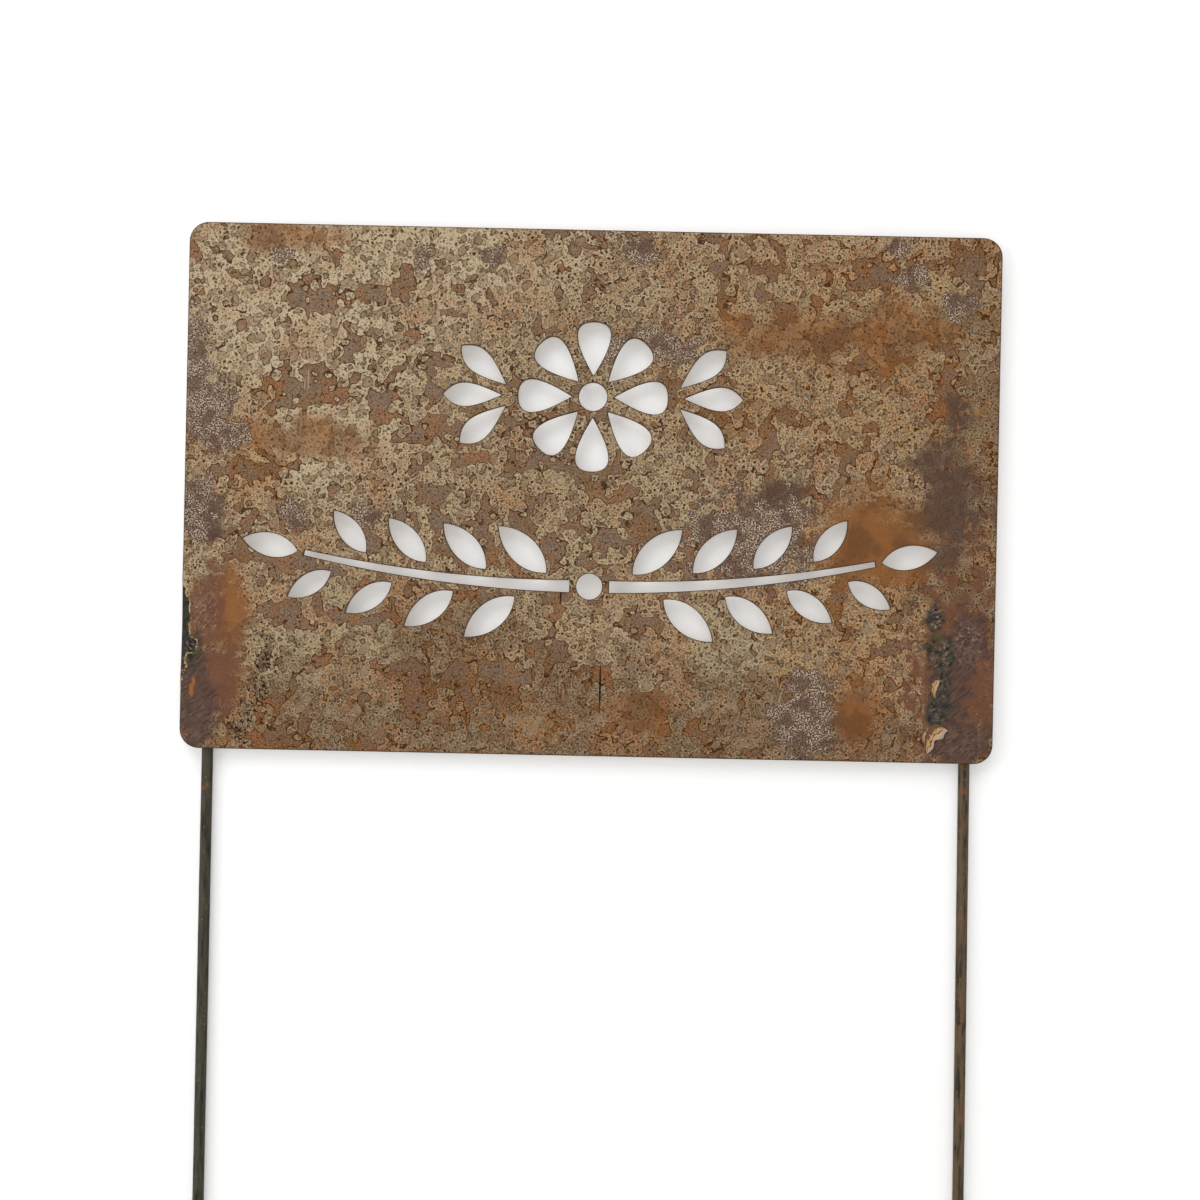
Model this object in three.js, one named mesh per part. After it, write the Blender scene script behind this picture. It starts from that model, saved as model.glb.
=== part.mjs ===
// Garden sign on two stakes: a pierced, rust-finished steel plate with two round
// stakes stitch-welded to its back. Millimetres, +Z up, and the front faces -Y.
// The origin is on the soil line, midway between the stakes and level with their axes.

import * as THREE from 'three';

// Sign plate, with its middle halfway between the stakes
const plateWidth = 345.4;
const plateHeight = 223.5;
const plateThickness = 1.5;
const cornerRadius = 8.2;

// Stakes, measured from the plate's lower edge and sides
const stakeDiameter = 4.76;
const stakeBelowPlate = 305;
const stakeBehindPlate = 76;
const stakeInset = 11;
const soilDepth = 150;
const tipAngle = 45;
const rightStakeLean = 0.42;

// Gap left between pieces that touch
const contactGap = 0.3;

// Stitch welds on the left flank of each stake
const leftStitches = ['lower', 'upper'];
const rightStitches = ['lower', 'middle', 'upper'];
const weldEndMargin = 4;
const weldStitchGap = 10;
const weldToeMargin = 1.6;
const weldTopAngle = 18;
const weldCrown = 0.7;
const weldTaper = 4;
const weldEndSize = 0.45;
const ripplePitch = 2.4;
const rippleDepth = 0.07;

// Cut-out pattern: a flower between two leaf fans above a pair of leafy sprigs
const patternRise = 4;
const rowGap = 12;
const webWidth = 3;
const flowerDiameter = 63.5;
const flowerPetals = 8;
const eyeDiameter = 12;
const fanLeaves = 3;
const fanSpread = 40;
const fanLeafStart = 7;
const fanLeafLength = 25;
const sprigClearance = 4;
const berryDiameter = 11;
const stemWidth = 5;
const stemTipWidth = 2.2;
const stemRise = 12;
const firstLeaf = 10;
const leafGap = 5.4;
const leafAngle = 42;
const leafLength = 29;
const leafWidth = 12;
const leafTaper = 0.3;
const tipLeafLength = 24;

// Where the curve controls of each cut-out lie, as shares of its length
const petalControls = [0.5, 1];
const fanControls = [0.5, 0.75];
const leafControls = [0.25, 0.7];

// A cubic curve bows out to this share of the offset of its two controls
const bowShare = 0.75;

// Facets
const stakeSides = 24;
const curveSteps = 11;
const arcSteps = 5;
const crownSteps = 5;
const ringsPerRipple = 3;

// Sizes that follow from those above
const stakeRadius = stakeDiameter / 2;
const stakeX = plateWidth / 2 - stakeInset;
const plateBottom = stakeBelowPlate - soilDepth;
const plateBack = -(stakeRadius + contactGap);
const seatRadius = stakeRadius + contactGap;
const weldFloor = plateBack + contactGap;
const weldLeg = stakeInset - seatRadius - weldToeMargin;
const sprigReach = stakeX - seatRadius - weldLeg - sprigClearance;
const leafPitch = (leafWidth + leafGap) / Math.sin(radians(leafAngle));
const sprigBand = stemRise + stemWidth + 2 * webWidth + 2 * leafLength * Math.sin(radians(leafAngle));
const patternHeight = flowerDiameter + rowGap + sprigBand;
const flowerY = patternRise + (patternHeight - flowerDiameter) / 2;
const sprigY = patternRise - (patternHeight - sprigBand) / 2;

const patina = new THREE.MeshStandardMaterial({ color: 0x89715a, roughness: 0.62, metalness: 0.55 });
const darkBar = new THREE.MeshStandardMaterial({ color: 0x564e42, roughness: 0.55, metalness: 0.7 });
const weldMetal = new THREE.MeshStandardMaterial({ color: 0x4a453e, roughness: 0.5, metalness: 0.8 });

function radians(degrees) {
  return (degrees * Math.PI) / 180;
}

// A leaf-shaped hole along a direction, its two sides bowed by mirrored pairs of controls
function leafHole(centre, angle, start, end, nearControl, farControl) {
  const pivot = new THREE.Vector2();
  const at = (along, out) => new THREE.Vector2(along, out).rotateAround(pivot, angle).add(centre);
  const base = at(start, 0);
  const tip = at(end, 0);
  const nearLeft = at(nearControl.x, nearControl.y);
  const farLeft = at(farControl.x, farControl.y);
  const farRight = at(farControl.x, -farControl.y);
  const nearRight = at(nearControl.x, -nearControl.y);
  const hole = new THREE.Path();
  hole.moveTo(base.x, base.y);
  hole.bezierCurveTo(nearLeft.x, nearLeft.y, farLeft.x, farLeft.y, tip.x, tip.y);
  hole.bezierCurveTo(farRight.x, farRight.y, nearRight.x, nearRight.y, base.x, base.y);
  return hole;
}

// One hole of a ring or fan: its controls lie on lines that keep half a web to each neighbour
function sectorHole(centre, angle, pitchAngle, start, end, controls) {
  const half = pitchAngle / 2;
  const room = (along) => along * Math.tan(half) - webWidth / 2 / Math.cos(half);
  const [near, far] = controls.map((share) => THREE.MathUtils.lerp(start, end, share));
  const nearControl = new THREE.Vector2(near, room(near));
  const farControl = new THREE.Vector2(far, room(far));
  return leafHole(centre, angle, start, end, nearControl, farControl);
}

function roundHole(centre, diameter) {
  return new THREE.Path().absarc(centre.x, centre.y, diameter / 2, 0, 2 * Math.PI);
}

// Round-tipped petals about an eye
function flowerHoles() {
  const centre = new THREE.Vector2(0, flowerY);
  const pitch = (2 * Math.PI) / flowerPetals;
  const start = eyeDiameter / 2 + webWidth;
  const holes = [roundHole(centre, eyeDiameter)];
  for (let i = 0; i < flowerPetals; i += 1) {
    const angle = Math.PI / 2 + i * pitch;
    holes.push(sectorHole(centre, angle, pitch, start, flowerDiameter / 2, petalControls));
  }
  return holes;
}

// Pointed leaves fanning out from one side of the flower
function fanHoles(side) {
  const centre = new THREE.Vector2(side * (flowerDiameter / 2), flowerY);
  const forward = side > 0 ? 0 : Math.PI;
  const pitch = radians(fanSpread);
  const end = fanLeafStart + fanLeafLength;
  const holes = [];
  for (let i = 0; i < fanLeaves; i += 1) {
    const angle = forward + (i - (fanLeaves - 1) / 2) * pitch;
    holes.push(sectorHole(centre, angle, pitch, fanLeafStart, end, fanControls));
  }
  return holes;
}

// A lens-shaped leaf of a sprig
function sprigLeaf(base, direction, size) {
  const length = leafLength * size;
  const out = (leafWidth * size) / 2 / bowShare;
  const [nearControl, farControl] = leafControls.map((share) => new THREE.Vector2(length * share, out));
  return leafHole(base, direction, 0, length, nearControl, farControl);
}

// The stem's centre line, level at the berry and rising towards the plate's side
function stemCurve(side) {
  const startX = side * (berryDiameter / 2 + webWidth);
  const endX = side * (sprigReach - tipLeafLength - webWidth);
  const low = sprigY - stemRise / 2;
  const high = sprigY + stemRise / 2;
  const start = new THREE.Vector2(startX, low);
  const bend = new THREE.Vector2((startX + endX) / 2, low);
  const end = new THREE.Vector2(endX, high);
  return new THREE.QuadraticBezierCurve(start, bend, end);
}

// A slot along the stem that narrows towards its tip
function stemHole(curve) {
  const above = [];
  const below = [];
  for (let i = 0; i <= curveSteps; i += 1) {
    const share = i / curveSteps;
    const point = curve.getPointAt(share);
    const tangent = curve.getTangentAt(share);
    const normal = new THREE.Vector2(-tangent.y, tangent.x);
    const half = THREE.MathUtils.lerp(stemWidth, stemTipWidth, share) / 2;
    above.push(point.clone().addScaledVector(normal, half));
    below.unshift(point.clone().addScaledVector(normal, -half));
  }
  return new THREE.Path([...above, ...below]);
}

// A stem with staggered leaves along its upper and lower edges and one more leaf at its tip
function sprigHoles(side) {
  const curve = stemCurve(side);
  const length = curve.getLength();
  const holes = [stemHole(curve)];
  for (const edge of [1, -1]) {
    const turn = edge * side;
    const stagger = edge > 0 ? 0 : leafPitch / 2;
    for (let along = firstLeaf + stagger; along < length; along += leafPitch) {
      const share = along / length;
      const tangent = curve.getTangentAt(share);
      const normal = new THREE.Vector2(-tangent.y, tangent.x).multiplyScalar(turn);
      const base = curve.getPointAt(share).addScaledVector(normal, stemWidth / 2 + webWidth);
      const direction = tangent.angle() + turn * radians(leafAngle);
      holes.push(sprigLeaf(base, direction, 1 - leafTaper * share));
    }
  }
  const tipTangent = curve.getTangentAt(1);
  const tipBase = curve.getPointAt(1).addScaledVector(tipTangent, webWidth);
  holes.push(sprigLeaf(tipBase, tipTangent.angle(), tipLeafLength / leafLength));
  return holes;
}

function plateOutline() {
  const x = plateWidth / 2;
  const y = plateHeight / 2;
  const r = cornerRadius;
  const outline = new THREE.Shape();
  outline.absarc(x - r, y - r, r, 0, Math.PI / 2);
  outline.absarc(-x + r, y - r, r, Math.PI / 2, Math.PI);
  outline.absarc(-x + r, -y + r, r, Math.PI, 1.5 * Math.PI);
  outline.absarc(x - r, -y + r, r, 1.5 * Math.PI, 2 * Math.PI);
  return outline;
}

function signPlate() {
  const outline = plateOutline();
  const middle = new THREE.Vector2(0, sprigY - stemRise / 2);
  outline.holes.push(...flowerHoles(), roundHole(middle, berryDiameter));
  for (const side of [-1, 1]) {
    outline.holes.push(...fanHoles(side), ...sprigHoles(side));
  }
  const geometry = new THREE.ExtrudeGeometry(outline, {
    depth: plateThickness,
    bevelEnabled: false,
    curveSegments: curveSteps,
  });
  const plate = new THREE.Mesh(geometry, patina);
  plate.name = 'sign_plate';
  plate.rotation.x = Math.PI / 2;
  plate.position.set(0, plateBack, plateBottom + plateHeight / 2);
  return plate;
}

// A round bar along Z with its lower end cut on a slant, and Z = 0 at the plate's lower edge
function stakeBar(name) {
  const length = stakeBelowPlate + stakeBehindPlate;
  const geometry = new THREE.CylinderGeometry(stakeRadius, stakeRadius, length, stakeSides);
  geometry.rotateX(Math.PI / 2);
  geometry.translate(0, 0, length / 2 - stakeBelowPlate);
  const points = geometry.attributes.position;
  for (let i = 0; i < points.count; i += 1) {
    if (points.getZ(i) < 0) {
      const rise = (points.getX(i) + stakeRadius) * Math.tan(radians(90 - tipAngle));
      points.setZ(i, points.getZ(i) + rise);
    }
  }
  geometry.computeVertexNormals();
  const bar = new THREE.Mesh(geometry, darkBar);
  bar.name = name;
  return bar;
}

// One slice of a weld fillet, counter-clockwise from its toe: floor, stake flank, then crown
function weldSlice(size) {
  const floorAngle = Math.asin(weldFloor / seatRadius);
  const topAngle = THREE.MathUtils.lerp(floorAngle, radians(weldTopAngle), size);
  const toe = new THREE.Vector2(-(seatRadius + weldLeg * size), weldFloor);
  const slice = [toe];
  for (let i = 0; i <= arcSteps; i += 1) {
    const angle = THREE.MathUtils.lerp(floorAngle, topAngle, i / arcSteps);
    slice.push(new THREE.Vector2(-seatRadius * Math.cos(angle), seatRadius * Math.sin(angle)));
  }
  const top = slice[slice.length - 1];
  const chord = toe.clone().sub(top);
  const outward = new THREE.Vector2(chord.y, -chord.x).normalize();
  const bulge = top.clone().add(toe).multiplyScalar(0.5).addScaledVector(outward, 2 * weldCrown * size);
  const crown = new THREE.QuadraticBezierCurve(top, bulge, toe);
  for (let i = 1; i < crownSteps; i += 1) {
    slice.push(crown.getPoint(i / crownSteps));
  }
  return slice;
}

// How full the bead is at a distance along it: tapered at both ends and rippled between
function weldSize(along, length, pitch) {
  const fromEnd = Math.min(along, length - along);
  const ramp = THREE.MathUtils.smoothstep(fromEnd, 0, weldTaper);
  const ripple = (1 - Math.cos((2 * Math.PI * along) / pitch)) / 2;
  return THREE.MathUtils.lerp(weldEndSize, 1, ramp) * (1 - rippleDepth * ripple);
}

// A rippled stitch of weld between the stake's left flank and the plate's back
function weldStitch(name, length) {
  const ripples = Math.max(1, Math.round(length / ripplePitch));
  const rings = ripples * ringsPerRipple;
  const pitch = length / ripples;
  const positions = [];
  const index = [];
  let slice = [];
  for (let ring = 0; ring <= rings; ring += 1) {
    const along = (length * ring) / rings;
    slice = weldSlice(weldSize(along, length, pitch));
    for (const point of slice) {
      positions.push(point.x, point.y, along);
    }
  }
  const count = slice.length;
  for (let ring = 0; ring < rings; ring += 1) {
    for (let i = 0; i < count; i += 1) {
      const a = ring * count + i;
      const b = ring * count + ((i + 1) % count);
      index.push(a, b, b + count, a, b + count, a + count);
    }
  }
  const last = rings * count;
  for (const [a, b, c] of THREE.ShapeUtils.triangulateShape(weldSlice(1), [])) {
    index.push(c, b, a);
    index.push(last + a, last + b, last + c);
  }
  const geometry = new THREE.BufferGeometry();
  geometry.setAttribute('position', new THREE.Float32BufferAttribute(positions, 3));
  geometry.setIndex(index);
  geometry.computeVertexNormals();
  const stitch = new THREE.Mesh(geometry, weldMetal);
  stitch.name = name;
  return stitch;
}

// A stake with its stitches, spread evenly over the length that lies behind the plate
function weldedStake(side, stitchNames) {
  const stake = new THREE.Group();
  stake.add(stakeBar(`${side}_stake`));
  const stitches = stitchNames.length;
  const room = stakeBehindPlate - 2 * weldEndMargin - (stitches - 1) * weldStitchGap;
  const length = room / stitches;
  stitchNames.forEach((level, i) => {
    const stitch = weldStitch(`${side}_${level}_weld`, length);
    stitch.position.z = weldEndMargin + i * (length + weldStitchGap);
    stake.add(stitch);
  });
  return stake;
}

const group = new THREE.Group();
group.add(signPlate());

const leftStake = weldedStake('left', leftStitches);
leftStake.position.set(-stakeX, 0, plateBottom);
group.add(leftStake);

const rightStake = weldedStake('right', rightStitches);
rightStake.position.set(stakeX, 0, plateBottom);
rightStake.rotation.y = -radians(rightStakeLean);
group.add(rightStake);

export default group;
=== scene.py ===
# %% [markdown]
# # A rust-finished garden sign on two stakes
# This lesson dresses a CAD model of a garden sign: a thin steel plate with leaf and flower cut-outs,
# and two round bars that are stitch-welded to its back. The CAD model fixes every size and place.
# Blender adds what a CAD solid lacks: soft edges, weld puddles, scorched metal and a mottled patina.
# All lengths are in metres, so a millimetre gets a name of its own.

# %% Load the frame
import math

import bmesh
import bpy
import numpy as np
from mathutils import Matrix, Vector, geometry, kdtree, noise


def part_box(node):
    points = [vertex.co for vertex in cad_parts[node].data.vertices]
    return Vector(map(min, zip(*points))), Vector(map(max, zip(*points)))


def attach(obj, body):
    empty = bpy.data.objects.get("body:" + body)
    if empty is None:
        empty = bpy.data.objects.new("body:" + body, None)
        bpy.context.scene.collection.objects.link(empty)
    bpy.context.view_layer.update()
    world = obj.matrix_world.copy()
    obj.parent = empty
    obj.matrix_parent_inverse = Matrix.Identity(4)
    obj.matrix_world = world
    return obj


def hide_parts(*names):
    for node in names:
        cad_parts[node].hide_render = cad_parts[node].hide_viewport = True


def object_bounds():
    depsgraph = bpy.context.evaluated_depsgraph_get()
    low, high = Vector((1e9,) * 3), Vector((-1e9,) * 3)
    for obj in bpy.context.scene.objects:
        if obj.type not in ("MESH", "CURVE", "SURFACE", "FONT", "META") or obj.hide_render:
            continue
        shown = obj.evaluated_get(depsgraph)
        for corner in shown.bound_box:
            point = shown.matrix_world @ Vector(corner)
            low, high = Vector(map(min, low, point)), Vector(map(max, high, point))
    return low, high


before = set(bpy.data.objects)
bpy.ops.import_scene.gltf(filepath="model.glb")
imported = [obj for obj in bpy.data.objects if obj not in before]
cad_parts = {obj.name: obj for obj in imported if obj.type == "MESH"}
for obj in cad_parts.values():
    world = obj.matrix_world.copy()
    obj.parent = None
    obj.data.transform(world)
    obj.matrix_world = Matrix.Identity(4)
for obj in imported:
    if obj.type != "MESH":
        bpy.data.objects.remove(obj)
cad_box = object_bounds()
MM = 0.001
plate_low, plate_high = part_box("sign_plate")
plate_size = plate_high - plate_low
plate_middle = (plate_low + plate_high) / 2
stake_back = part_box("left_stake")[1].y
print("plate in mm:", [round(side / MM, 2) for side in plate_size])

# %% [markdown]
# ## The camera
# The photograph looks straight at the plate, so its sides show no keystone, and the whole sign is
# turned a little clockwise. A camera could be aimed by eye, but three measured pixels say more:
# the plate's width gives the distance, the plate's middle gives the aim, and the slope of its
# sides gives the roll.

# %% Place the camera
PHOTO_PIXELS = 1200
PLATE_WIDTH_PIXELS = 813.4
PLATE_MIDDLE_PIXEL = (591.1, 493.0)
ROLL = math.radians(1.2)
VIEW_ANGLE = math.radians(45)


def place_camera():
    """Puts the plate's middle, width and roll where the photograph has them."""
    pixel = plate_size.x / PLATE_WIDTH_PIXELS
    right = Vector((math.cos(ROLL), 0, math.sin(ROLL)))
    up = Vector((-math.sin(ROLL), 0, math.cos(ROLL)))
    across = (PHOTO_PIXELS / 2 - PLATE_MIDDLE_PIXEL[0]) * pixel
    down = (PHOTO_PIXELS / 2 - PLATE_MIDDLE_PIXEL[1]) * pixel
    distance = PHOTO_PIXELS / 2 * pixel / math.tan(VIEW_ANGLE / 2)
    aim = Vector((plate_middle.x, plate_low.y, plate_middle.z)) + right * across - up * down
    camera = bpy.data.objects.new("camera", bpy.data.cameras.new("camera"))
    camera.data.angle = VIEW_ANGLE
    camera.data.clip_start = 10 * MM
    axes = Matrix((right, up, Vector((0, -1, 0)))).transposed()
    camera.matrix_world = Matrix.Translation(aim - Vector((0, distance, 0))) @ axes.to_4x4()
    bpy.context.collection.objects.link(camera)
    bpy.context.scene.camera = camera
    return distance


print("camera distance in m:", round(place_camera(), 3))

# %% [markdown]
# ## A helper for node trees
# Materials and Geometry Nodes are both trees of nodes. Written out link by link they are hard to
# read, so one small class adds a node, sets its options and feeds its inputs from values or sockets.

# %% Node helper


class Graph:
    """Adds nodes to one tree. Inputs may be plain values or the outputs of other nodes."""

    def __init__(self, tree, dimensions="3D"):
        self.tree = tree
        self.dimensions = dimensions

    def feed(self, socket, value):
        if isinstance(value, bpy.types.NodeSocket):
            self.tree.links.new(value, socket)
        else:
            socket.default_value = value

    def node(self, kind, inputs=None, **options):
        made = self.tree.nodes.new(kind)
        for name, value in options.items():
            setattr(made, name, value)
        for name, value in (inputs or {}).items():
            self.feed(made.inputs[name], value)
        return made

    def math(self, operation, *values):
        made = self.node("ShaderNodeMath", dict(enumerate(values)), operation=operation)
        return made.outputs[0]

    def times(self, first, second):
        return self.math("MULTIPLY", first, second)

    def vector(self, operation, *values):
        made = self.node("ShaderNodeVectorMath", dict(enumerate(values)), operation=operation)
        return made.outputs["Value" if operation == "DOT_PRODUCT" else "Vector"]

    def scaled(self, vector, factor):
        made = self.node("ShaderNodeVectorMath", {0: vector, "Scale": factor}, operation="SCALE")
        return made.outputs["Vector"]

    def ramp(self, value, low, high):
        """0 up to low, 1 from high on, and a smooth step between. It falls where low is above high."""
        inputs = {"Value": value, "From Min": low, "From Max": high}
        return self.node("ShaderNodeMapRange", inputs, interpolation_type="SMOOTHSTEP").outputs[0]

    def lerp(self, share, low, high):
        inputs = {"Value": share, "To Min": low, "To Max": high}
        return self.node("ShaderNodeMapRange", inputs).outputs[0]

    def paint(self, share, under, over):
        """One colour laid over another where share is 1."""
        made = self.node("ShaderNodeMix", {0: share, 6: under, 7: over}, data_type="RGBA")
        return made.outputs[2]

    def noise(self, place, size, detail=2.0, rough=0.5):
        """Cloudy noise around 0.5, with features about as large as size: a number and a colour."""
        inputs = {"Vector": place, "Scale": 1 / size, "Detail": detail, "Roughness": rough}
        made = self.node("ShaderNodeTexNoise", inputs, noise_dimensions=self.dimensions)
        return made.outputs

    def moved(self, place, shift=(0, 0, 0), scale=(1, 1, 1)):
        """The same place on a pattern that is shifted and scaled."""
        inputs = {"Vector": place, "Location": shift, "Scale": scale}
        return self.node("ShaderNodeMapping", inputs).outputs[0]

    def cells(self, place, size, loose=1.0):
        """Scattered points about size apart: the distance to the nearest, and its random numbers."""
        inputs = {"Vector": place, "Scale": 1 / size, "Randomness": loose}
        made = self.node("ShaderNodeTexVoronoi", inputs, voronoi_dimensions=self.dimensions)
        distance = self.times(made.outputs["Distance"], size)
        return distance, self.node("ShaderNodeSeparateColor", {0: made.outputs["Color"]}).outputs

    def attribute(self, name):
        """A number that the mesh carries at each of its points."""
        return self.node("ShaderNodeAttribute", attribute_name=name).outputs["Fac"]


print("a graph can make:", ", ".join(name for name in vars(Graph) if not name.startswith("_")))

# %% [markdown]
# ## Colours and new materials
# A colour is easiest to read as the screen shows it, from 0 to 255, but a socket takes linear light.
# A colour picker hides that step. A script has to take it, so one function does. The other starts
# a material with the Principled surface that every piece of this sign has.

# %% Colours and new materials


def rgb(red, green, blue):
    """A screen colour, 0 to 255, as the linear colour that a socket takes."""
    shares = [level / 255 for level in (red, green, blue)]
    linear = [s / 12.92 if s <= 0.04045 else ((s + 0.055) / 1.055) ** 2.4 for s in shares]
    return (*linear, 1.0)


def new_material(name, dimensions="3D"):
    """A material with a Principled surface, and the graph to build on it."""
    material = bpy.data.materials.new(name)
    material.use_nodes = True
    graph = Graph(material.node_tree, dimensions)
    return material, graph, material.node_tree.nodes["Principled BSDF"]


print("screen grey 128 in linear light:", round(rgb(128, 128, 128)[0], 3))

# %% [markdown]
# ## The stage
# The photograph is a product shot on white: the sign lies close to a white surface, which catches
# soft shadows. A white world alone would show no shadow, so a white sheet stands just behind the
# stakes. It shows only to the camera and only from its front, so it neither blocks light nor hides
# the sign's back in other views.

# %% Floor and backdrop
SHEET_GAP = 0.4 * MM
SHEET_SIZE = 2.4
FLOOR_SIZE = 8.0
PAPER = rgb(246, 246, 245)
PAPER_GLOW = 0.23


def flat_sheet(name, corners, material):
    mesh = bpy.data.meshes.new(name)
    mesh.from_pydata(corners, [], [range(len(corners))])
    mesh.materials.append(material)
    sheet = bpy.data.objects.new(name, mesh)
    bpy.context.collection.objects.link(sheet)
    return sheet


def paper_material(name, camera_only):
    """White paper with a little glow for the camera, so that it clips to white but keeps shadows."""
    material, g, surface = new_material(name)
    g.tree.nodes.remove(surface)
    path = g.node("ShaderNodeLightPath").outputs
    matte = g.node("ShaderNodeBsdfDiffuse", {"Color": PAPER}).outputs[0]
    glow_level = g.times(path["Is Camera Ray"], PAPER_GLOW)
    glow = g.node("ShaderNodeEmission", {"Strength": glow_level}).outputs[0]
    paper = g.node("ShaderNodeAddShader", {0: matte, 1: glow}).outputs[0]
    if camera_only:
        back = g.node("ShaderNodeNewGeometry").outputs["Backfacing"]
        seen = g.times(path["Is Camera Ray"], g.math("SUBTRACT", 1.0, back))
        clear = g.node("ShaderNodeBsdfTransparent").outputs[0]
        paper = g.node("ShaderNodeMixShader", {0: seen, 1: clear, 2: paper}).outputs[0]
    g.feed(g.tree.nodes["Material Output"].inputs["Surface"], paper)
    return material


def build_stage():
    z = cad_box[0].z - SHEET_GAP
    half = FLOOR_SIZE / 2
    floor = [(-half, -half, z), (half, -half, z), (half, half, z), (-half, half, z)]
    flat_sheet("floor", floor, paper_material("floor_paper", camera_only=False))
    y = stake_back + SHEET_GAP
    half = SHEET_SIZE / 2
    sheet = [(-half, y, z), (half, y, z), (half, y, half), (-half, y, half)]
    flat_sheet("backdrop", sheet, paper_material("backdrop_paper", camera_only=True))
    print("floor at mm:", round(z / MM, 2), "backdrop at mm:", round(y / MM, 2))


build_stage()

# %% [markdown]
# ## The light
# The light of such a shot comes from all sides, a little more from above and from the left. Many
# lamps could give that. Here it is mostly an even white sky, at the level where a colour renders as
# it is written, with two large soft lamps for direction.

# %% Light
SKY_SHARE = 0.52
# Each lamp is its place from the plate's middle, its size and its share of the light.
LAMPS = {
    "lamp_above": ((-0.35, -1.3, 1.5), 1.3, 0.25),
    "lamp_left": ((-1.6, -1.3, 0.3), 1.0, 0.12),
}


def build_sky():
    world = bpy.data.worlds.new("white_sky")
    world.use_nodes = True
    g = Graph(world.node_tree)
    path = g.node("ShaderNodeLightPath").outputs
    seen = g.math("MAXIMUM", path["Is Camera Ray"], path["Is Glossy Ray"])
    seen = g.math("MAXIMUM", seen, path["Is Transmission Ray"])
    background = world.node_tree.nodes["Background"]
    background.inputs["Color"].default_value = (1, 1, 1, 1)
    g.feed(background.inputs["Strength"], g.lerp(seen, SKY_SHARE, 1.0))
    bpy.context.scene.world = world


def soft_lamp(name, away, size, share):
    """A square lamp that gives the plate's front this share of the light at which a colour is true."""
    lamp = bpy.data.lights.new(name, "AREA")
    lamp.size = size
    slant = -away.normalized().y
    lamp.energy = share * math.pi**2 * away.length_squared / slant
    holder = bpy.data.objects.new(name, lamp)
    turn = away.to_track_quat("Z", "Y").to_matrix().to_4x4()
    holder.matrix_world = Matrix.Translation(plate_middle + away) @ turn
    bpy.context.collection.objects.link(holder)
    return lamp.energy


build_sky()
for lamp_name, (away, size, share) in LAMPS.items():
    print(lamp_name, "watts:", round(soft_lamp(lamp_name, Vector(away), size, share), 1))
bpy.context.scene.view_settings.view_transform = "Standard"

# %% [markdown]
# ## The outline of the plate
# The plate is cut from sheet, so its shape is a set of flat loops: one outer edge and many holes.
# They could be drawn again, but the CAD plate already holds them. This step merges a copy of its
# triangles, keeps the edges where the front face ends, and walks along them loop by loop.
# A smooth curve is then laid through the points of each loop, with sharp tips left sharp,
# because CAD facets would show along the petals.

# %% Read the loops from the CAD plate
MERGE_GAP = 0.001 * MM
FACING_FRONT = -0.9


def front_loops(node):
    """Closed loops of (x, z) points around the front face, metal always on the left."""
    shell = bmesh.new()
    shell.from_mesh(node.data)
    bmesh.ops.remove_doubles(shell, verts=shell.verts, dist=MERGE_GAP)
    after = {}
    for face in shell.faces:
        if face.normal.y < FACING_FRONT:
            for corner in face.loops:
                if corner.link_loop_radial_next.face.normal.y > FACING_FRONT:
                    after[corner.vert] = corner.link_loop_next.vert
    loops = []
    while after:
        start, point = after.popitem()
        loop = [start]
        while point is not start:
            loop.append(point)
            point = after.pop(point)
        loops.append(np.array([(vert.co.x, vert.co.z) for vert in loop]))
    shell.free()
    return loops


cad_loops = front_loops(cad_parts["sign_plate"])
print("loops:", len(cad_loops), "with points:", sum(map(len, cad_loops)))

# %% Smooth the loops
LOOP_STEP = 0.8 * MM
SHARP_TURN = math.radians(38)
LONG_SIDE = 20 * MM


def directions(loop):
    """Each side's unit direction and length, from a point to the next."""
    side = np.roll(loop, -1, axis=0) - loop
    length = np.linalg.norm(side, axis=1)
    return side / length[:, None], length


def end_tangents(loop):
    """The curve's direction where each side starts and where it ends."""
    way, length = directions(loop)
    way_in, length_in = np.roll(way, 1, axis=0), np.roll(length, 1)
    through = way_in * length[:, None] + way * length_in[:, None]
    through /= np.linalg.norm(through, axis=1)[:, None]
    turn = np.arccos(np.clip((way_in * way).sum(axis=1), -1, 1))
    straight = (length > LONG_SIDE) | (length_in > LONG_SIDE)
    broken = (turn > SHARP_TURN) | straight
    starts, ends = through.copy(), np.roll(through, -1, axis=0)
    ends_broken = np.roll(broken, -1)
    starts[broken] = (2 * way - ends)[broken]
    ends[ends_broken] = (2 * way - through)[ends_broken]
    both = broken & ends_broken
    starts[both] = way[both]
    ends[both] = way[both]
    return starts, ends


def smooth_loop(loop):
    """The same loop with points every LOOP_STEP or so, on curves through the old points."""
    starts, ends = end_tangents(loop)
    length = directions(loop)[1]
    points = []
    for i, start in enumerate(loop):
        end = loop[(i + 1) % len(loop)]
        pieces = max(1, math.ceil(length[i] / LOOP_STEP))
        for t in np.arange(pieces) / pieces:
            bow = t * (1 - t) ** 2 * starts[i] - t * t * (1 - t) * ends[i]
            blend = t * t * (3 - 2 * t)
            points.append(start * (1 - blend) + end * blend + bow * length[i])
    return np.array(points)


plate_loops = [smooth_loop(loop) for loop in cad_loops]
print("points on the smooth loops:", sum(map(len, plate_loops)))

# %% [markdown]
# ## The scorched places
# Where a stake was welded on behind, the front of the thin sheet has boiled: it is dished,
# blistered and wrinkled. A bump map could fake that, but the ridges catch light along the plate's
# side and belong in the mesh. So this step only describes them: a few oval places by the left and
# right edges, and one function that says how high the metal stands at any point.

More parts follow.
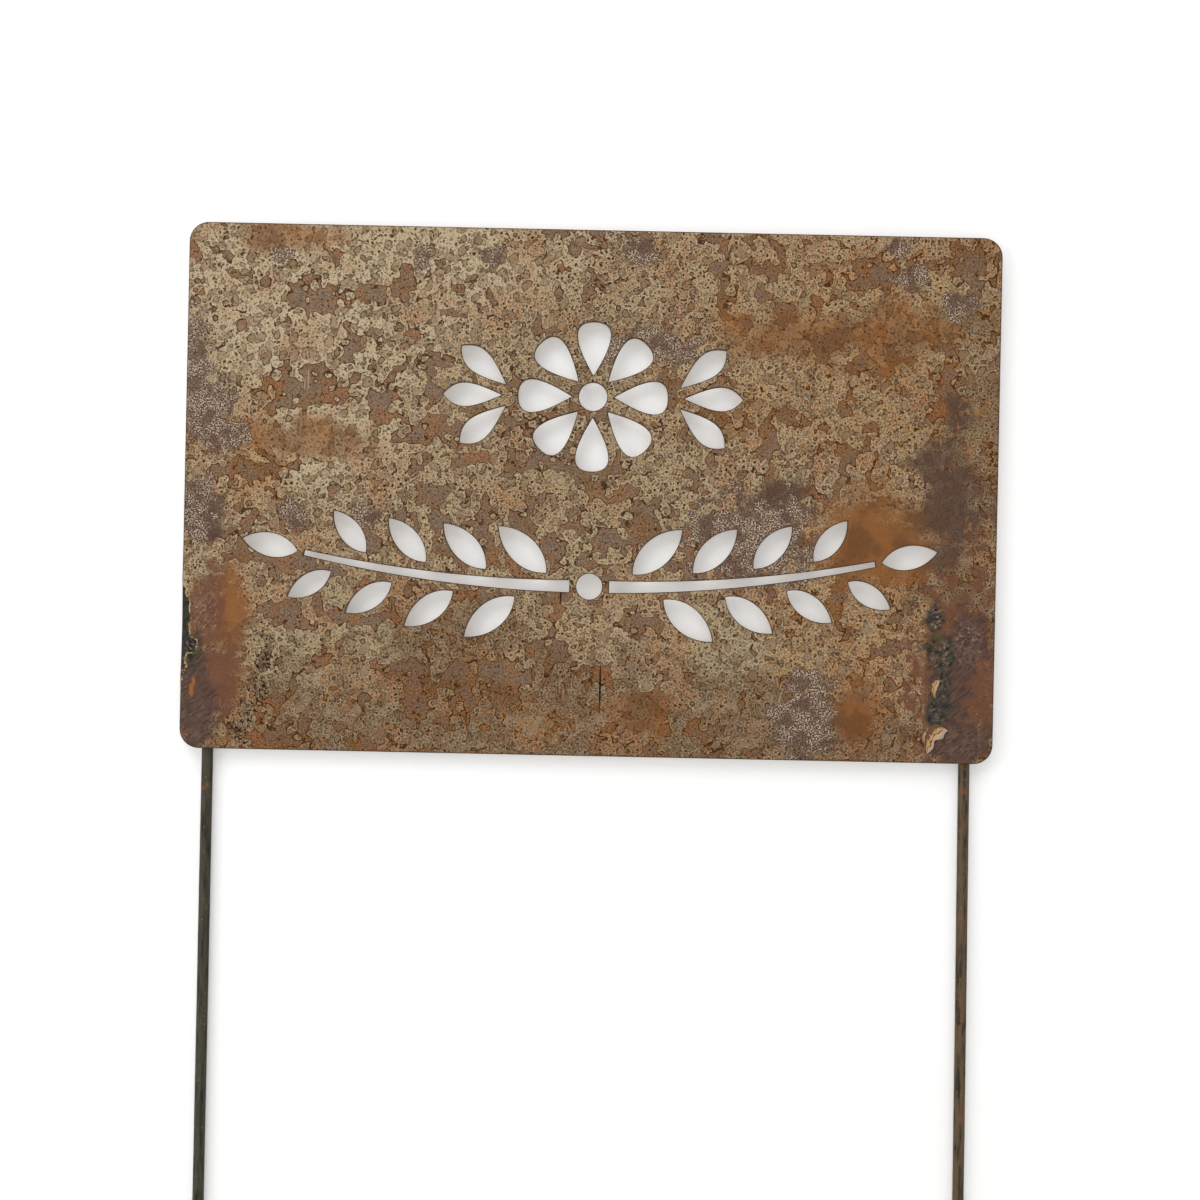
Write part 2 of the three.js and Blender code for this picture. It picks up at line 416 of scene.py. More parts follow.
# %% Scorched places and their relief
# Each place is x, z, half width and half height in millimetres from the plate's middle.
LEFT_BITE = (-173.4, -60.0, 4.4, 21.0)
LEFT_BLOB = (-169.2, -68.0, 3.2, 3.6)
LEFT_WRINKLES = (-162.5, -54.0, 8.0, 17.0)
LEFT_SWIRL = (-165.5, -97.0, 9.5, 17.0)
RIGHT_CRATER = (147.5, -50.0, 4.5, 6.5)
RIGHT_CORE = (150.0, -66.0, 7.0, 10.0)
RIGHT_TONGUE = (144.0, -62.5, 5.0, 2.6)
RIGHT_NECK = (151.0, -79.0, 4.0, 8.0)
RIGHT_POOL = (149.5, -90.0, 6.0, 7.5)
RIGHT_BLISTERS = (161.0, -61.0, 10.0, 15.0)
RIGHT_CORNER = (158.0, -103.0, 15.0, 10.0)
# Each wrinkled place has its height, its gleam, which sets how strong its crests' painted highlights
# are, and its ripples' length, width and turn.
WRINKLED = (
    (LEFT_BLOB, 1.2, 1.0, 1.7, 1.7, 0),
    (LEFT_WRINKLES, 0.6, 1.0, 5.0, 1.7, 55),
    (LEFT_SWIRL, 0.35, 0.45, 9.0, 2.0, 40),
    (RIGHT_CRATER, 0.8, 1.0, 2.4, 1.8, 20),
    (RIGHT_CORE, 0.75, 0.9, 3.4, 2.2, 50),
    (RIGHT_NECK, 0.5, 0.8, 3.0, 2.0, 70),
    (RIGHT_POOL, 0.45, 0.7, 4.5, 2.4, 20),
    (RIGHT_BLISTERS, 0.55, 0.9, 3.0, 1.8, -30),
    (RIGHT_CORNER, 0.35, 0.6, 6.0, 2.0, 25),
)
# Heights are in millimetres. The lip's place and width are shares of the bite's half size.
BITE_DEPTH = 0.7
LIP_HEIGHT = 0.40
LIP_PLACE = 1.02
LIP_WIDTH = 0.16
CRATER_DEPTH = 0.45
RIPPLE_FLOOR = 0.3


def reach(x, z, place):
    """How far a point lies from a place's middle, as a share of the place's half size."""
    return math.hypot((x - place[0]) / place[2], (z - place[1]) / place[3])


def swell(share):
    """1 in the middle of a place, falling smoothly to 0 at its edge."""
    rest = max(0.0, 1.0 - share * share)
    return rest * rest


def ridges(x, z, along, across, turn):
    """Sharp-topped ripples, longer one way than the other, from 0 to 1."""
    cos, sin = math.cos(math.radians(turn)), math.sin(math.radians(turn))
    point = Vector(((x * cos + z * sin) / along, (z * cos - x * sin) / across, 0.0))
    return 1.0 - min(1.0, 2.6 * abs(noise.fractal(point, 0.9, 2.0, 3)))


def scorch_relief(x, z):
    """The boiled metal at a point: its height in millimetres, and how sharp a crest it is there."""
    bite = reach(x, z, LEFT_BITE)
    height = -BITE_DEPTH * swell(bite)
    height += LIP_HEIGHT * math.exp(-(((bite - LIP_PLACE) / LIP_WIDTH) ** 2))
    height -= CRATER_DEPTH * swell(reach(x, z, RIGHT_CRATER))
    crest = 0.0
    for place, lift, gleam, along, across, turn in WRINKLED:
        share = swell(reach(x, z, place))
        if share > 0.0:
            ripple = ridges(x, z, along, across, turn)
            height += lift * share * (ripple - RIPPLE_FLOOR)
            crest = max(crest, gleam * min(1.0, 2.2 * share) * ripple * ripple)
    return height, crest


print("relief at the left blob in mm:", round(scorch_relief(*LEFT_BLOB[:2])[0], 2))

# %% [markdown]
# ## The patina
# The real finish is a chemical rust: a thin khaki film that dried in droplets, with dark specks,
# ringed drops and scalloped rust stains. Its mill scale shows as purple-grey patches with salty
# grains, and heat from the welds turned the edges orange and black. A photograph could be mapped
# on, but layers of noise and scattered cells give the same look at any scale. Patches that give
# this sign its character are listed as soft ovals, and noise frays their outlines.
# The first cell holds what all layers share: a coat to lay them on, and the ovals.

# %% Coat and ovals


class Coat:
    """Colour, roughness and height of a surface, built up layer by layer."""

    def __init__(self, graph, colour, rough):
        self.graph = graph
        self.colour = colour
        self.rough = rough
        self.height = 0.0

    def lay(self, share, colour=None, rough=None, lift=0.0):
        """Adds a layer where share is 1. Lift is its height in millimetres."""
        if colour is not None:
            self.colour = self.graph.paint(share, self.colour, colour)
        if rough is not None:
            self.rough = self.graph.lerp(share, self.rough, rough)
        if lift:
            self.height = self.graph.math("MULTIPLY_ADD", share, lift, self.height)

    def finish(self, surface, shine):
        g = self.graph
        g.feed(surface.inputs["Base Color"], self.colour)
        g.feed(surface.inputs["Roughness"], self.rough)
        surface.inputs["Specular IOR Level"].default_value = shine
        bump = g.node("ShaderNodeBump", {"Height": self.height, "Distance": MM})
        g.feed(surface.inputs["Normal"], bump.outputs[0])


def plate_place(g):
    """Millimetres from the plate's middle, as (x, z): the flat plane that the patina is drawn on."""
    middle = Vector((plate_middle.x, plate_middle.z, -plate_middle.y)) / MM
    inputs = {
        "Vector": g.node("ShaderNodeTexCoord").outputs["Object"],
        "Location": -middle,
        "Rotation": (-math.pi / 2, 0, 0),
        "Scale": (1 / MM,) * 3,
    }
    return g.node("ShaderNodeMapping", inputs).outputs[0]


def solid_place(g):
    """Millimetres along all three axes, for a pattern that runs right through a piece."""
    return g.scaled(g.node("ShaderNodeTexCoord").outputs["Object"], 1 / MM)


def ovals(g, place, patches):
    """1 in the middle of the nearest patch, 0 on its outline and down to -1 outside."""
    nearest = 0.0
    for x, z, wide, high in patches:
        inputs = {"Vector": place, "Location": (x, z, 0), "Scale": (2 * wide, 2 * high, 1000)}
        local = g.node("ShaderNodeMapping", inputs, vector_type="TEXTURE").outputs[0]
        inside = g.node("ShaderNodeTexGradient", {0: local}, gradient_type="SPHERICAL").outputs[1]
        nearest = g.math("MAXIMUM", nearest, inside)
    return g.math("MULTIPLY_ADD", nearest, 2.0, -1.0)


def frayed(g, place, size, detail=4):
    """Noise from about -0.3 to 0.3, for outlines that wander."""
    return g.math("SUBTRACT", g.noise(place, size, detail, 0.6)[0], 0.5)


def frayed_ovals(g, place, patches, size, detail, amount):
    """The same as ovals, with outlines that noise of this size makes wander by this amount."""
    return g.math("MULTIPLY_ADD", frayed(g, place, size, detail), amount, ovals(g, place, patches))


def streaked(g, place, along, across, turn):
    """A place on a pattern that is drawn out one way."""
    inputs = {"Vector": place, "Scale": (along, across, 1), "Rotation": (0, 0, math.radians(turn))}
    return g.node("ShaderNodeMapping", inputs, vector_type="TEXTURE").outputs[0]


print("patina plane in mm:", round(plate_size.x / MM, 1), "by", round(plate_size.z / MM, 1))

# %% [markdown]
# ## The film
# The lowest layer is a thin film of khaki rust. It drifts from pale at the upper left to orange tan
# at the right and umber along the bottom. One large noise would put such areas anywhere, so each
# area is a few ovals instead. Fine grain and curdled specks then break the film up, and less so
# where it dried clean.

# %% The film
FILM = rgb(172, 148, 111)
FILM_OLIVE = rgb(158, 140, 104)
FILM_BRIGHT = rgb(206, 186, 156)
FILM_PALE = rgb(194, 175, 141)
FILM_BROWN = rgb(121, 87, 53)
FILM_WARM = rgb(169, 131, 86)
FILM_UMBER = rgb(97, 70, 45)
FILM_CLOUD = rgb(128, 92, 58)
FILM_BLUSH = rgb(158, 102, 60)

# Each patch is x, z, half width and half height in millimetres from the plate's middle.
PALE_PATCHES = ((-128, 80, 66, 50), (-60, 98, 46, 24), (-112, 22, 44, 24))
OLIVE_PATCHES = ((-112, -60, 38, 46), (66, -72, 34, 34), (112, 30, 26, 22), (-5, 40, 40, 40))
CLEAN_PATCHES = (*PALE_PATCHES, *OLIVE_PATCHES[:2], (30, -55, 26, 22), (-60, 40, 20, 14))
DROP_PATCHES = ((-112, -62, 34, 44), (70, -76, 36, 34), (-20, -50, 30, 16), (100, 20, 30, 20))
WARM_PATCHES = (
    (120, 62, 66, 62), (-141, 14, 12, 28), (-108, -85, 12, 20), (-5, -98, 60, 14), (112, -60, 42, 56),
)
UMBER_PATCHES = (
    (-40, -102, 150, 34), (163, -10, 22, 115), (-150, -100, 40, 26),
    (-55, -62, 34, 24), (95, -104, 60, 18),
)
FILM_ZONES = {
    "pale": PALE_PATCHES, "olive": OLIVE_PATCHES, "warm": WARM_PATCHES, "umber": UMBER_PATCHES,
    "clean": CLEAN_PATCHES, "drops": DROP_PATCHES,
}
# Each tint is laid in this order, at this share of its zone.
FILM_TINTS = {
    "pale": (0.9, FILM_PALE), "olive": (0.8, FILM_OLIVE),
    "warm": (0.85, FILM_WARM), "umber": (0.85, FILM_UMBER),
}


def front_zones(g, place):
    """How much each zone of the film counts at a place on the front."""
    blend = g.times(frayed(g, place, 24, 3), 2.0)
    zones = {}
    for name, patches in FILM_ZONES.items():
        zones[name] = g.ramp(g.math("ADD", ovals(g, place, patches), blend), -0.3, 0.4)
    return zones


def film(coat, place, grain, zones):
    """The film in its tints, with brown clouds, an orange blush, curdled specks and fine grain."""
    g = coat.graph
    for name, (share, tint) in FILM_TINTS.items():
        coat.lay(g.times(zones[name], share), tint)
    clouds = g.ramp(g.noise(g.moved(place, (71, 33, 0)), 17, 4, 0.6)[0], 0.50, 0.64)
    coat.lay(g.times(clouds, g.lerp(zones["clean"], 0.35, 0.05)), FILM_CLOUD)
    blush = g.ramp(g.noise(g.moved(place, (-45, 210, 0)), 30, 5, 0.62)[0], 0.47, 0.62)
    coat.lay(g.times(blush, g.lerp(zones["pale"], 0.6, 0.4)), FILM_BLUSH)
    curdled = g.ramp(g.noise(place, 1.9, 3, 0.65)[0], 0.52, 0.58)
    coat.lay(g.times(curdled, g.lerp(zones["clean"], 0.4, 0.1)), FILM_BROWN)
    light_grain = g.ramp(grain, 0.52, 0.62)
    coat.lay(g.times(light_grain, g.lerp(zones["umber"], 0.45, 0.25)), FILM_BRIGHT)
    dark_grain = g.ramp(grain, 0.46, 0.36)
    coat.lay(g.times(dark_grain, g.lerp(zones["clean"], 0.55, 0.4)), FILM_UMBER, lift=-0.03)


print("film zones:", len(FILM_ZONES), "with patches:", sum(map(len, FILM_ZONES.values())))

# %% [markdown]
# ## Pits and drops
# The film is full of dark pinholes, and it dried in drops that each left a brown spot inside a dark
# tide line. They could be scattered as tiny meshes, but there are tens of thousands. A Voronoi
# texture is lighter: it gives the distance to scattered points, which draws dots and rings, and
# random numbers for each point, so that no two are alike. Noise added to the distance makes the
# rings uneven. Drops that ran together are plain noise instead, cut off at one level.

# %% Pits and drops
PIT_DARK = rgb(48, 27, 10)
TIDE_LINE = rgb(56, 32, 13)
DROP_BROWN = rgb(124, 90, 60)
DROP_OLIVE = rgb(128, 108, 76)
BLOT_GREY = rgb(124, 95, 68)


def pits(coat, place, gap, core, strength, halo):
    """Pinholes in the film, dark where they are deep. A pale halo may lie round each."""
    g = coat.graph
    distance, chance = g.cells(place, gap)
    wavy = g.math("MULTIPLY_ADD", frayed(g, place, gap * 0.7, 1), gap * 0.5, distance)
    away = g.math("DIVIDE", wavy, g.lerp(chance[0], 0.35, 1.1))
    deep = g.times(g.ramp(chance[1], -0.4, 0.5), strength)
    if halo:
        coat.lay(g.times(g.ramp(away, core * 2.6, core * 1.6), g.times(deep, halo)), FILM_BRIGHT)
    coat.lay(g.times(g.ramp(away, core * 1.35, core * 0.8), deep), PIT_DARK, lift=-0.05)


def drops(coat, place, gap, least, most, share):
    """Round dried drops: a brown spot with a dark tide line round it."""
    g = coat.graph
    distance, chance = g.cells(place, gap, 0.8)
    edge = g.math("SUBTRACT", distance, g.lerp(chance[0], least, most))
    edge = g.math("MULTIPLY_ADD", frayed(g, place, gap * 0.5, 1), gap * 0.35, edge)
    there = g.math("LESS_THAN", chance[1], share)
    coat.lay(g.times(g.ramp(edge, 0.9, 0.4), g.times(there, 0.3)), FILM_BRIGHT)
    fill = g.times(g.ramp(edge, 0.15, -0.15), there)
    tone = g.paint(chance[0], DROP_OLIVE, DROP_BROWN)
    coat.lay(g.times(fill, g.lerp(chance[2], 0.25, 0.85)), tone)
    line = g.times(g.ramp(g.math("ABSOLUTE", edge), 0.38, 0.14), there)
    coat.lay(g.times(line, g.lerp(chance[2], 0.4, 0.95)), TIDE_LINE)


def blots(coat, place, size, level, share):
    """Uneven drops that ran together, with the same dark line round them."""
    g = coat.graph
    depth = g.math("SUBTRACT", g.noise(place, size, 1.6, 0.5)[0], level)
    thin = 0.10 / size
    coat.lay(g.times(g.ramp(depth, -thin, thin), share), BLOT_GREY)
    line = g.ramp(g.math("ABSOLUTE", depth), thin * 2.0, thin * 0.7)
    coat.lay(g.times(line, 0.6), TIDE_LINE)


print("pit colour in linear light:", [round(level, 4) for level in PIT_DARK[:3]])

# %% [markdown]
# ## Rust stains
# Where the liquid stood longest, it broke the film and rusted the steel below. Such a stain has a
# scalloped outline, as if drops had eaten into it. It shows a pale rim, a dark line, a brown skirt
# and often a mauve grey core. Noise cut off at a level gives outlines that are too smooth, so the
# distance to scattered points is added to it, which cuts round bites. The depth inside the outline
# then picks the colour. Noise crowds most stains together, and the large ones are listed one by one.

# %% Rust stains
RUST_ORANGE = rgb(132, 81, 45)
RUST_BROWN = rgb(110, 70, 40)
RUST_GREY = rgb(108, 84, 71)
RUST_LINE = rgb(58, 33, 12)
RUST_PATCHES = (
    (-19, 26, 8, 7), (-30, -15, 5, 6), (5, -20, 6, 4), (22, -17, 9, 10), (-15, -25, 5, 6),
    (-43, -26, 6, 5), (-72, -85, 6, 11), (-53, -82, 8, 8), (-38, -80, 12, 8), (-130, -107, 11, 5),
    (-125, 81, 4, 8), (-115, 80, 8, 5), (-81, 87, 5, 6), (-104, 59, 3, 6), (-94, 82, 5, 4),
    (-52, 13, 6, 3), (-145, 7, 13, 5), (-69, 25, 11, 4), (43, -28, 4, 7), (-12, -67, 4, 5),
    (-121, 42, 15, 7), (-90, 37, 5, 8), (75, 24, 3, 7), (83, 33, 3, 5), (108, 15, 3, 6), (2, 2, 5, 5),
    (14, 0, 5, 4), (158, 100, 8, 10), (150, 42, 5, 10), (118, 96, 9, 6),
)


def rust_stains(coat, place, grain, level, patches, rim):
    """Scalloped stains: a pale rim, a dark line, a brown skirt and a mauve grey core."""
    g = coat.graph
    wild = g.noise(g.moved(place, (140, 610, 0)), 11, 3, 0.5)[0]
    crowd = g.math("MULTIPLY_ADD", g.noise(place, 48, 2)[0], -0.5, level)
    depth = g.times(g.math("SUBTRACT", wild, crowd), 6.0)
    bites = g.cells(place, 5.0)[0]
    if patches:
        depth = g.math("MAXIMUM", depth, frayed_ovals(g, place, patches, 8, 2, 2.4))
    depth = g.math("MULTIPLY_ADD", bites, 0.32, g.math("SUBTRACT", depth, 0.6))
    coat.lay(g.times(g.ramp(depth, -0.32, -0.14), 0.4), rim)
    tone = g.paint(g.ramp(g.noise(place, 22, 3, 0.6)[0], 0.44, 0.56), RUST_ORANGE, RUST_BROWN)
    grey = g.ramp(g.noise(g.moved(place, (55, 8, 0)), 16, 3)[0], 0.40, 0.52)
    tone = g.paint(g.times(g.ramp(depth, 0.22, 0.42), grey), tone, RUST_GREY)
    tone = g.paint(g.times(g.ramp(grain, 0.48, 0.36), 0.6), tone, RUST_LINE)
    tone = g.paint(g.times(g.ramp(grain, 0.54, 0.66), 0.3), tone, FILM)
    coat.lay(g.times(g.ramp(depth, -0.06, 0.08), 0.8), tone, rough=0.78)
    line = g.ramp(g.math("ABSOLUTE", depth), 0.12, 0.05)
    coat.lay(g.times(line, 0.92), RUST_LINE)


print("stains placed by hand:", len(RUST_PATCHES))

# %% [markdown]
# ## Mill scale
# Hot-rolled sheet comes from the mill with a hard grey skin. Here it still shows as purple-grey
# patches with pits and clumps of salty grains, and down the right side it is dark and bare. A mask
# painted by hand would be slow to change, so each patch is an oval with a frayed outline.

# %% Mill scale
SCALE_PURPLE = rgb(108, 84, 71)
SCALE_SALT = rgb(194, 176, 154)
SCALE_BROWN = rgb(86, 65, 55)
SCALE_PIT = rgb(60, 44, 35)
SCALE_PATCHES = (
    (-169, 50, 7, 20), (-165, 34, 11, 14), (-158, 22, 11, 7), (19, 63, 22, 8), (70, -18, 25, 18),
    (94, -94, 14, 18), (-133, 99, 4, 5), (-73, 99, 4, 5), (-43, 100, 5, 4), (19, 104, 7, 5),
    (-127, -10, 5, 6), (-97, -12, 7, 5), (-168, -9, 9, 13), (130, 106, 5, 4), (134, 94, 6, 5),
    (154, 83, 7, 6),
)
DARK_SCALE_PATCHES = (
    (153, -6, 14, 28), (142, 15, 8, 10), (155, 36, 6, 9), (80, 0, 12, 7), (-162, -14, 8, 9),
)


def mill_scale(coat, place):
    """Purple-grey scale left from rolling, with pits and clumps of salty grains."""
    g = coat.graph
    depth = frayed_ovals(g, place, SCALE_PATCHES, 8, 4, 2.6)
    there = g.ramp(depth, -0.12, 0.12)
    coat.lay(g.times(there, 0.85), SCALE_PURPLE, rough=0.6)
    salt = g.noise(place, 0.65, 1)[0]
    coat.lay(g.times(g.times(there, 0.75), g.ramp(salt, 0.47, 0.38)), SCALE_PIT)
    clumps = g.ramp(g.noise(g.moved(place, (31, 17, 0)), 7, 4, 0.6)[0], 0.38, 0.56)
    coat.lay(g.times(g.times(there, clumps), g.ramp(salt, 0.53, 0.60)), SCALE_SALT)
    coat.lay(g.times(g.ramp(g.math("ABSOLUTE", depth), 0.10, 0.03), 0.35), SCALE_PIT)


def dark_scale(coat, place):
    """Scale that stayed dark and bare, with only a soft edge."""
    g = coat.graph
    depth = frayed_ovals(g, place, DARK_SCALE_PATCHES, 12, 5, 2.4)
    coat.lay(g.times(g.ramp(depth, -0.35, 0.45), 0.82), SCALE_BROWN, rough=0.55)


print("patches of scale:", len(SCALE_PATCHES) + len(DARK_SCALE_PATCHES))

# %% [markdown]
# ## Heat colours
# Heat and wet rust left orange and brown washes. Some are so thin that the pits show through them.
# By the welds the orange metal is smooth and runs out sideways in streaks. Both mix two colours by
# noise, but the streaks come from noise that is stretched along the plate's width.

# %% Heat colours
HEAT_ORANGE = rgb(140, 91, 50)
HEAT_BROWN = rgb(112, 74, 44)
WASH_PATCHES = (
    (87, 67, 32, 11), (131, 70, 16, 16), (-130, 107, 22, 6), (-120, 20, 26, 9), (23, -92, 13, 8),
    (120, -16, 26, 18), (114, -92, 11, 13),
)
SMOOTH_PATCHES = ((-153, -58, 9, 25), (121, -19, 23, 20), (113, -93, 8, 9))


def heat_wash(coat, place):
    """A thin orange and brown wash, which the pits still show through."""
    g = coat.graph
    depth = frayed_ovals(g, place, WASH_PATCHES, 16, 5, 2.2)
    tone = g.paint(g.ramp(g.noise(place, 14, 3)[0], 0.42, 0.6), HEAT_ORANGE, HEAT_BROWN)
    coat.lay(g.times(g.ramp(depth, -0.4, 0.4), 0.62), tone)


def heat_smooth(coat, place):
    """Smooth orange metal by the welds, which runs out in streaks."""
    g = coat.graph
    streaks = frayed(g, g.moved(place, scale=(0.3, 1.0, 1.0)), 4, 3)
    depth = g.math("MULTIPLY_ADD", streaks, 1.6, ovals(g, place, SMOOTH_PATCHES))
    tone = g.paint(g.ramp(g.noise(place, 13, 3)[0], 0.40, 0.62), HEAT_ORANGE, HEAT_BROWN)
    coat.lay(g.times(g.ramp(depth, -0.35, 0.5), 0.9), tone, rough=0.5)


print("patches of heat colour:", len(WASH_PATCHES) + len(SMOOTH_PATCHES))

# %% [markdown]
# ## Cracks, scratches and curls
# A chain of black cracks runs down beside the left burn, a few scratches come from handling, and
# thin rust has dried in bright curly lines. They could be drawn as curves, but lines like these
# come for nothing from noise: where it passes through its middle value, a thin band follows a
# wandering line. Scratches are straight, so they are very narrow ovals.

# %% Cracks, scratches and curls
CRACK = rgb(26, 20, 16)
SCRATCH_PALE = rgb(168, 140, 112)
CURL_ORANGE = rgb(178, 129, 76)
CRACK_PATCHES = (
    (-136.5, -65, 3.5, 5), (-137, -74, 5, 5), (-140.5, -86, 5, 7), (-142.5, -95, 5.5, 6),
    (-147, -104, 5, 6),
)
SCRATCH_DARK_PATCHES = ((5.5, -82, 0.45, 11), (-12, -44, 0.4, 3))
SCRATCH_PALE_PATCHES = ((-121, 46, 0.4, 5), (-122.5, 44, 0.3, 3))
CURL_PATCHES = ((158, -40, 11, 9), (165, -16, 7, 12), (-25, -96, 20, 9), (162, 40, 9, 24))


def cracks(coat, place):
    """Open black cracks in a chain."""
    g = coat.graph
    line = g.ramp(g.math("ABSOLUTE", frayed(g, place, 3.2, 2)), 0.075, 0.03)
    broken = g.times(line, g.ramp(g.noise(place, 1.8, 2)[0], 0.47, 0.53))
    band = frayed_ovals(g, place, CRACK_PATCHES, 5, 2, 1.5)
    coat.lay(g.times(broken, g.ramp(band, 0.0, 0.2)), CRACK, lift=-0.2)


def scratches(coat, place):
    """Dark and pale scratches."""
    g = coat.graph
    for patches, tone in ((SCRATCH_DARK_PATCHES, CRACK), (SCRATCH_PALE_PATCHES, SCRATCH_PALE)):
        coat.lay(g.ramp(ovals(g, place, patches), -0.2, 0.4), tone)


def curls(coat, place):
    """Bright curly lines of thin orange rust."""
    g = coat.graph
    depth = frayed_ovals(g, place, CURL_PATCHES, 9, 3, 2.0)
    line = g.ramp(g.math("ABSOLUTE", frayed(g, place, 4.2, 1)), 0.05, 0.02)
    line = g.times(line, g.ramp(g.noise(place, 6, 2)[0], 0.46, 0.58))
    coat.lay(g.times(g.times(line, g.ramp(depth, -0.1, 0.3)), 0.5), CURL_ORANGE, lift=0.05)


print("scratches:", len(SCRATCH_DARK_PATCHES) + len(SCRATCH_PALE_PATCHES))

# %% [markdown]
# ## Scorched metal
# At the burns the metal boiled. From the rim inwards it is red-brown, then purple in silky streaks,
# then green, slate and black where it was hottest. The crests of the wrinkles get painted highlights:
# a pale tint and glints, laid in as colour. Painting the crests by hand would never match the relief,
# so the mesh carries how sharp a crest each point is, in an attribute that this finish reads.

# %% Scorched metal
SCORCH_GREEN = rgb(80, 75, 54)
SCORCH_SLATE = rgb(62, 64, 60)
SCORCH_BLACK = rgb(30, 28, 26)
SCORCH_PURPLE = rgb(98, 77, 68)
# Painted highlight for the wrinkles' crests.
SCORCH_PAINTED_CREST_LIGHT = rgb(132, 106, 92)
SCORCH_DARK = rgb(56, 44, 41)
SCORCH_RED = rgb(112, 74, 55)
SCORCH_LIP = rgb(190, 160, 122)
# Painted glint for the sharpest crests.
SCORCH_PAINTED_GLINT = rgb(190, 168, 146)
FLECK_ORANGE = rgb(164, 102, 56)
RED_HALOS = (LEFT_WRINKLES, (157, -76, 19, 38), (-159, -82, 11, 16))
PURPLE_HALOS = (LEFT_SWIRL, RIGHT_BLISTERS, RIGHT_CORNER, (154, -82, 9, 26), (-167, -80, 7, 14))
LEFT_CORES = (LEFT_BITE, LEFT_BLOB)
SOFT_CORES = (RIGHT_CRATER, RIGHT_CORE, RIGHT_TONGUE, RIGHT_NECK, RIGHT_POOL, (-171.5, -70, 7.5, 9))
FLECK_PATCHES = ((-167.1, -83.5, 0.9, 2.2), (-168.0, -87, 1.0, 2.6), (-147.8, -80.5, 2.6, 0.45))


def scorch_halos(coat, place, fray):
    """Red-brown and purple metal round the burns."""
    g = coat.graph
    depth = g.math("ADD", fray, ovals(g, place, RED_HALOS))
    coat.lay(g.times(g.ramp(depth, -0.35, 0.25), 0.85), SCORCH_RED, rough=0.5)
    depth = g.math("ADD", fray, ovals(g, place, PURPLE_HALOS))
    silk = g.noise(streaked(g, place, 4.0, 0.8, 40), 1.3, 4, 0.65)[0]
    mixed = g.paint(g.times(g.ramp(silk, 0.36, 0.66), 0.8), SCORCH_PURPLE, SCORCH_DARK)
    coat.lay(g.times(g.ramp(depth, -0.2, 0.35), 0.85), mixed, rough=0.42)


def scorch_cores(coat, place, fray):
    """Green, slate and black metal where it was hottest, and the pale lip of the left burn."""
    g = coat.graph
    streaks = g.noise(streaked(g, place, 1.8, 0.9, 40), 1.9, 3, 0.6)[0]
    core = g.paint(g.ramp(g.noise(place, 9, 2)[0], 0.36, 0.62), SCORCH_GREEN, SCORCH_SLATE)
    core = g.paint(g.ramp(streaks, 0.40, 0.72), core, SCORCH_BLACK)
    depth = g.math("ADD", fray, ovals(g, place, SOFT_CORES))
    coat.lay(g.times(g.ramp(depth, -0.2, 0.5), 0.92), core, rough=0.32)
    depth = g.math("MULTIPLY_ADD", fray, 0.5, ovals(g, place, LEFT_CORES))
    coat.lay(g.ramp(depth, -0.03, 0.15), g.paint(0.5, core, SCORCH_BLACK), rough=0.3)
    lip = g.times(g.ramp(g.math("ABSOLUTE", depth), 0.09, 0.03), g.ramp(streaks, 0.46, 0.54))
    coat.lay(lip, SCORCH_LIP)


def painted_crest_light_and_flecks(coat, place):
    """Painted highlights on the wrinkles' crests, a pale tint and glints, and a few orange flecks."""
    g = coat.graph
    crest = g.attribute("crest")
    # Painted highlight: a pale tint on the crests, where light would catch the relief.
    coat.lay(g.times(g.ramp(crest, 0.15, 0.6), 0.45), SCORCH_PAINTED_CREST_LIGHT)
    # Painted glints: bright spots on the sharpest crests.
    painted_glint = g.times(g.ramp(crest, 0.55, 0.95), g.ramp(g.noise(place, 5, 2)[0], 0.42, 0.6))
    coat.lay(g.times(painted_glint, 0.85), SCORCH_PAINTED_GLINT, rough=0.25)
    fleck = frayed_ovals(g, place, FLECK_PATCHES, 2.5, 3, 2.0)
    coat.lay(g.times(g.ramp(fleck, -0.3, 0.5), 0.85), FLECK_ORANGE)


def scorch(coat, place):
    fray = coat.graph.times(frayed(coat.graph, place, 6, 5), 2.0)
    scorch_halos(coat, place, fray)
    scorch_cores(coat, place, fray)
    painted_crest_light_and_flecks(coat, place)


print("burnt places:", len({*RED_HALOS, *PURPLE_HALOS, *LEFT_CORES, *SOFT_CORES}))

# %% [markdown]
# ## The front of the plate
# The layers now go on roughly in the order in which they formed: film, pits and drops, stains, heat,
# scale and at last the burns. A later layer covers an earlier one, so the order counts as much as
# the colours do. Fine pits come once more after the stains, because the stains are pitted too.

# %% Front finish
EDGE_DARK = rgb(58, 45, 36)
RIM_GOLD = rgb(196, 142, 82)
FILM_ROUGH = 0.62
FRONT_GRAIN = 0.7
FRONT_SHINE = 0.08


def edge_oxide_and_shade(coat):
    """Darkens the strip along the cut edges, where rim_share falls to 0: the edges' dark oxide, and
    painted shade along every edge.
    """
    g = coat.graph
    # Partly the cut edge's oxide, partly painted shade: a dark outline round every edge.
    coat.lay(g.times(g.ramp(g.attribute("rim_share"), 0.55, 0.1), 0.7), EDGE_DARK)


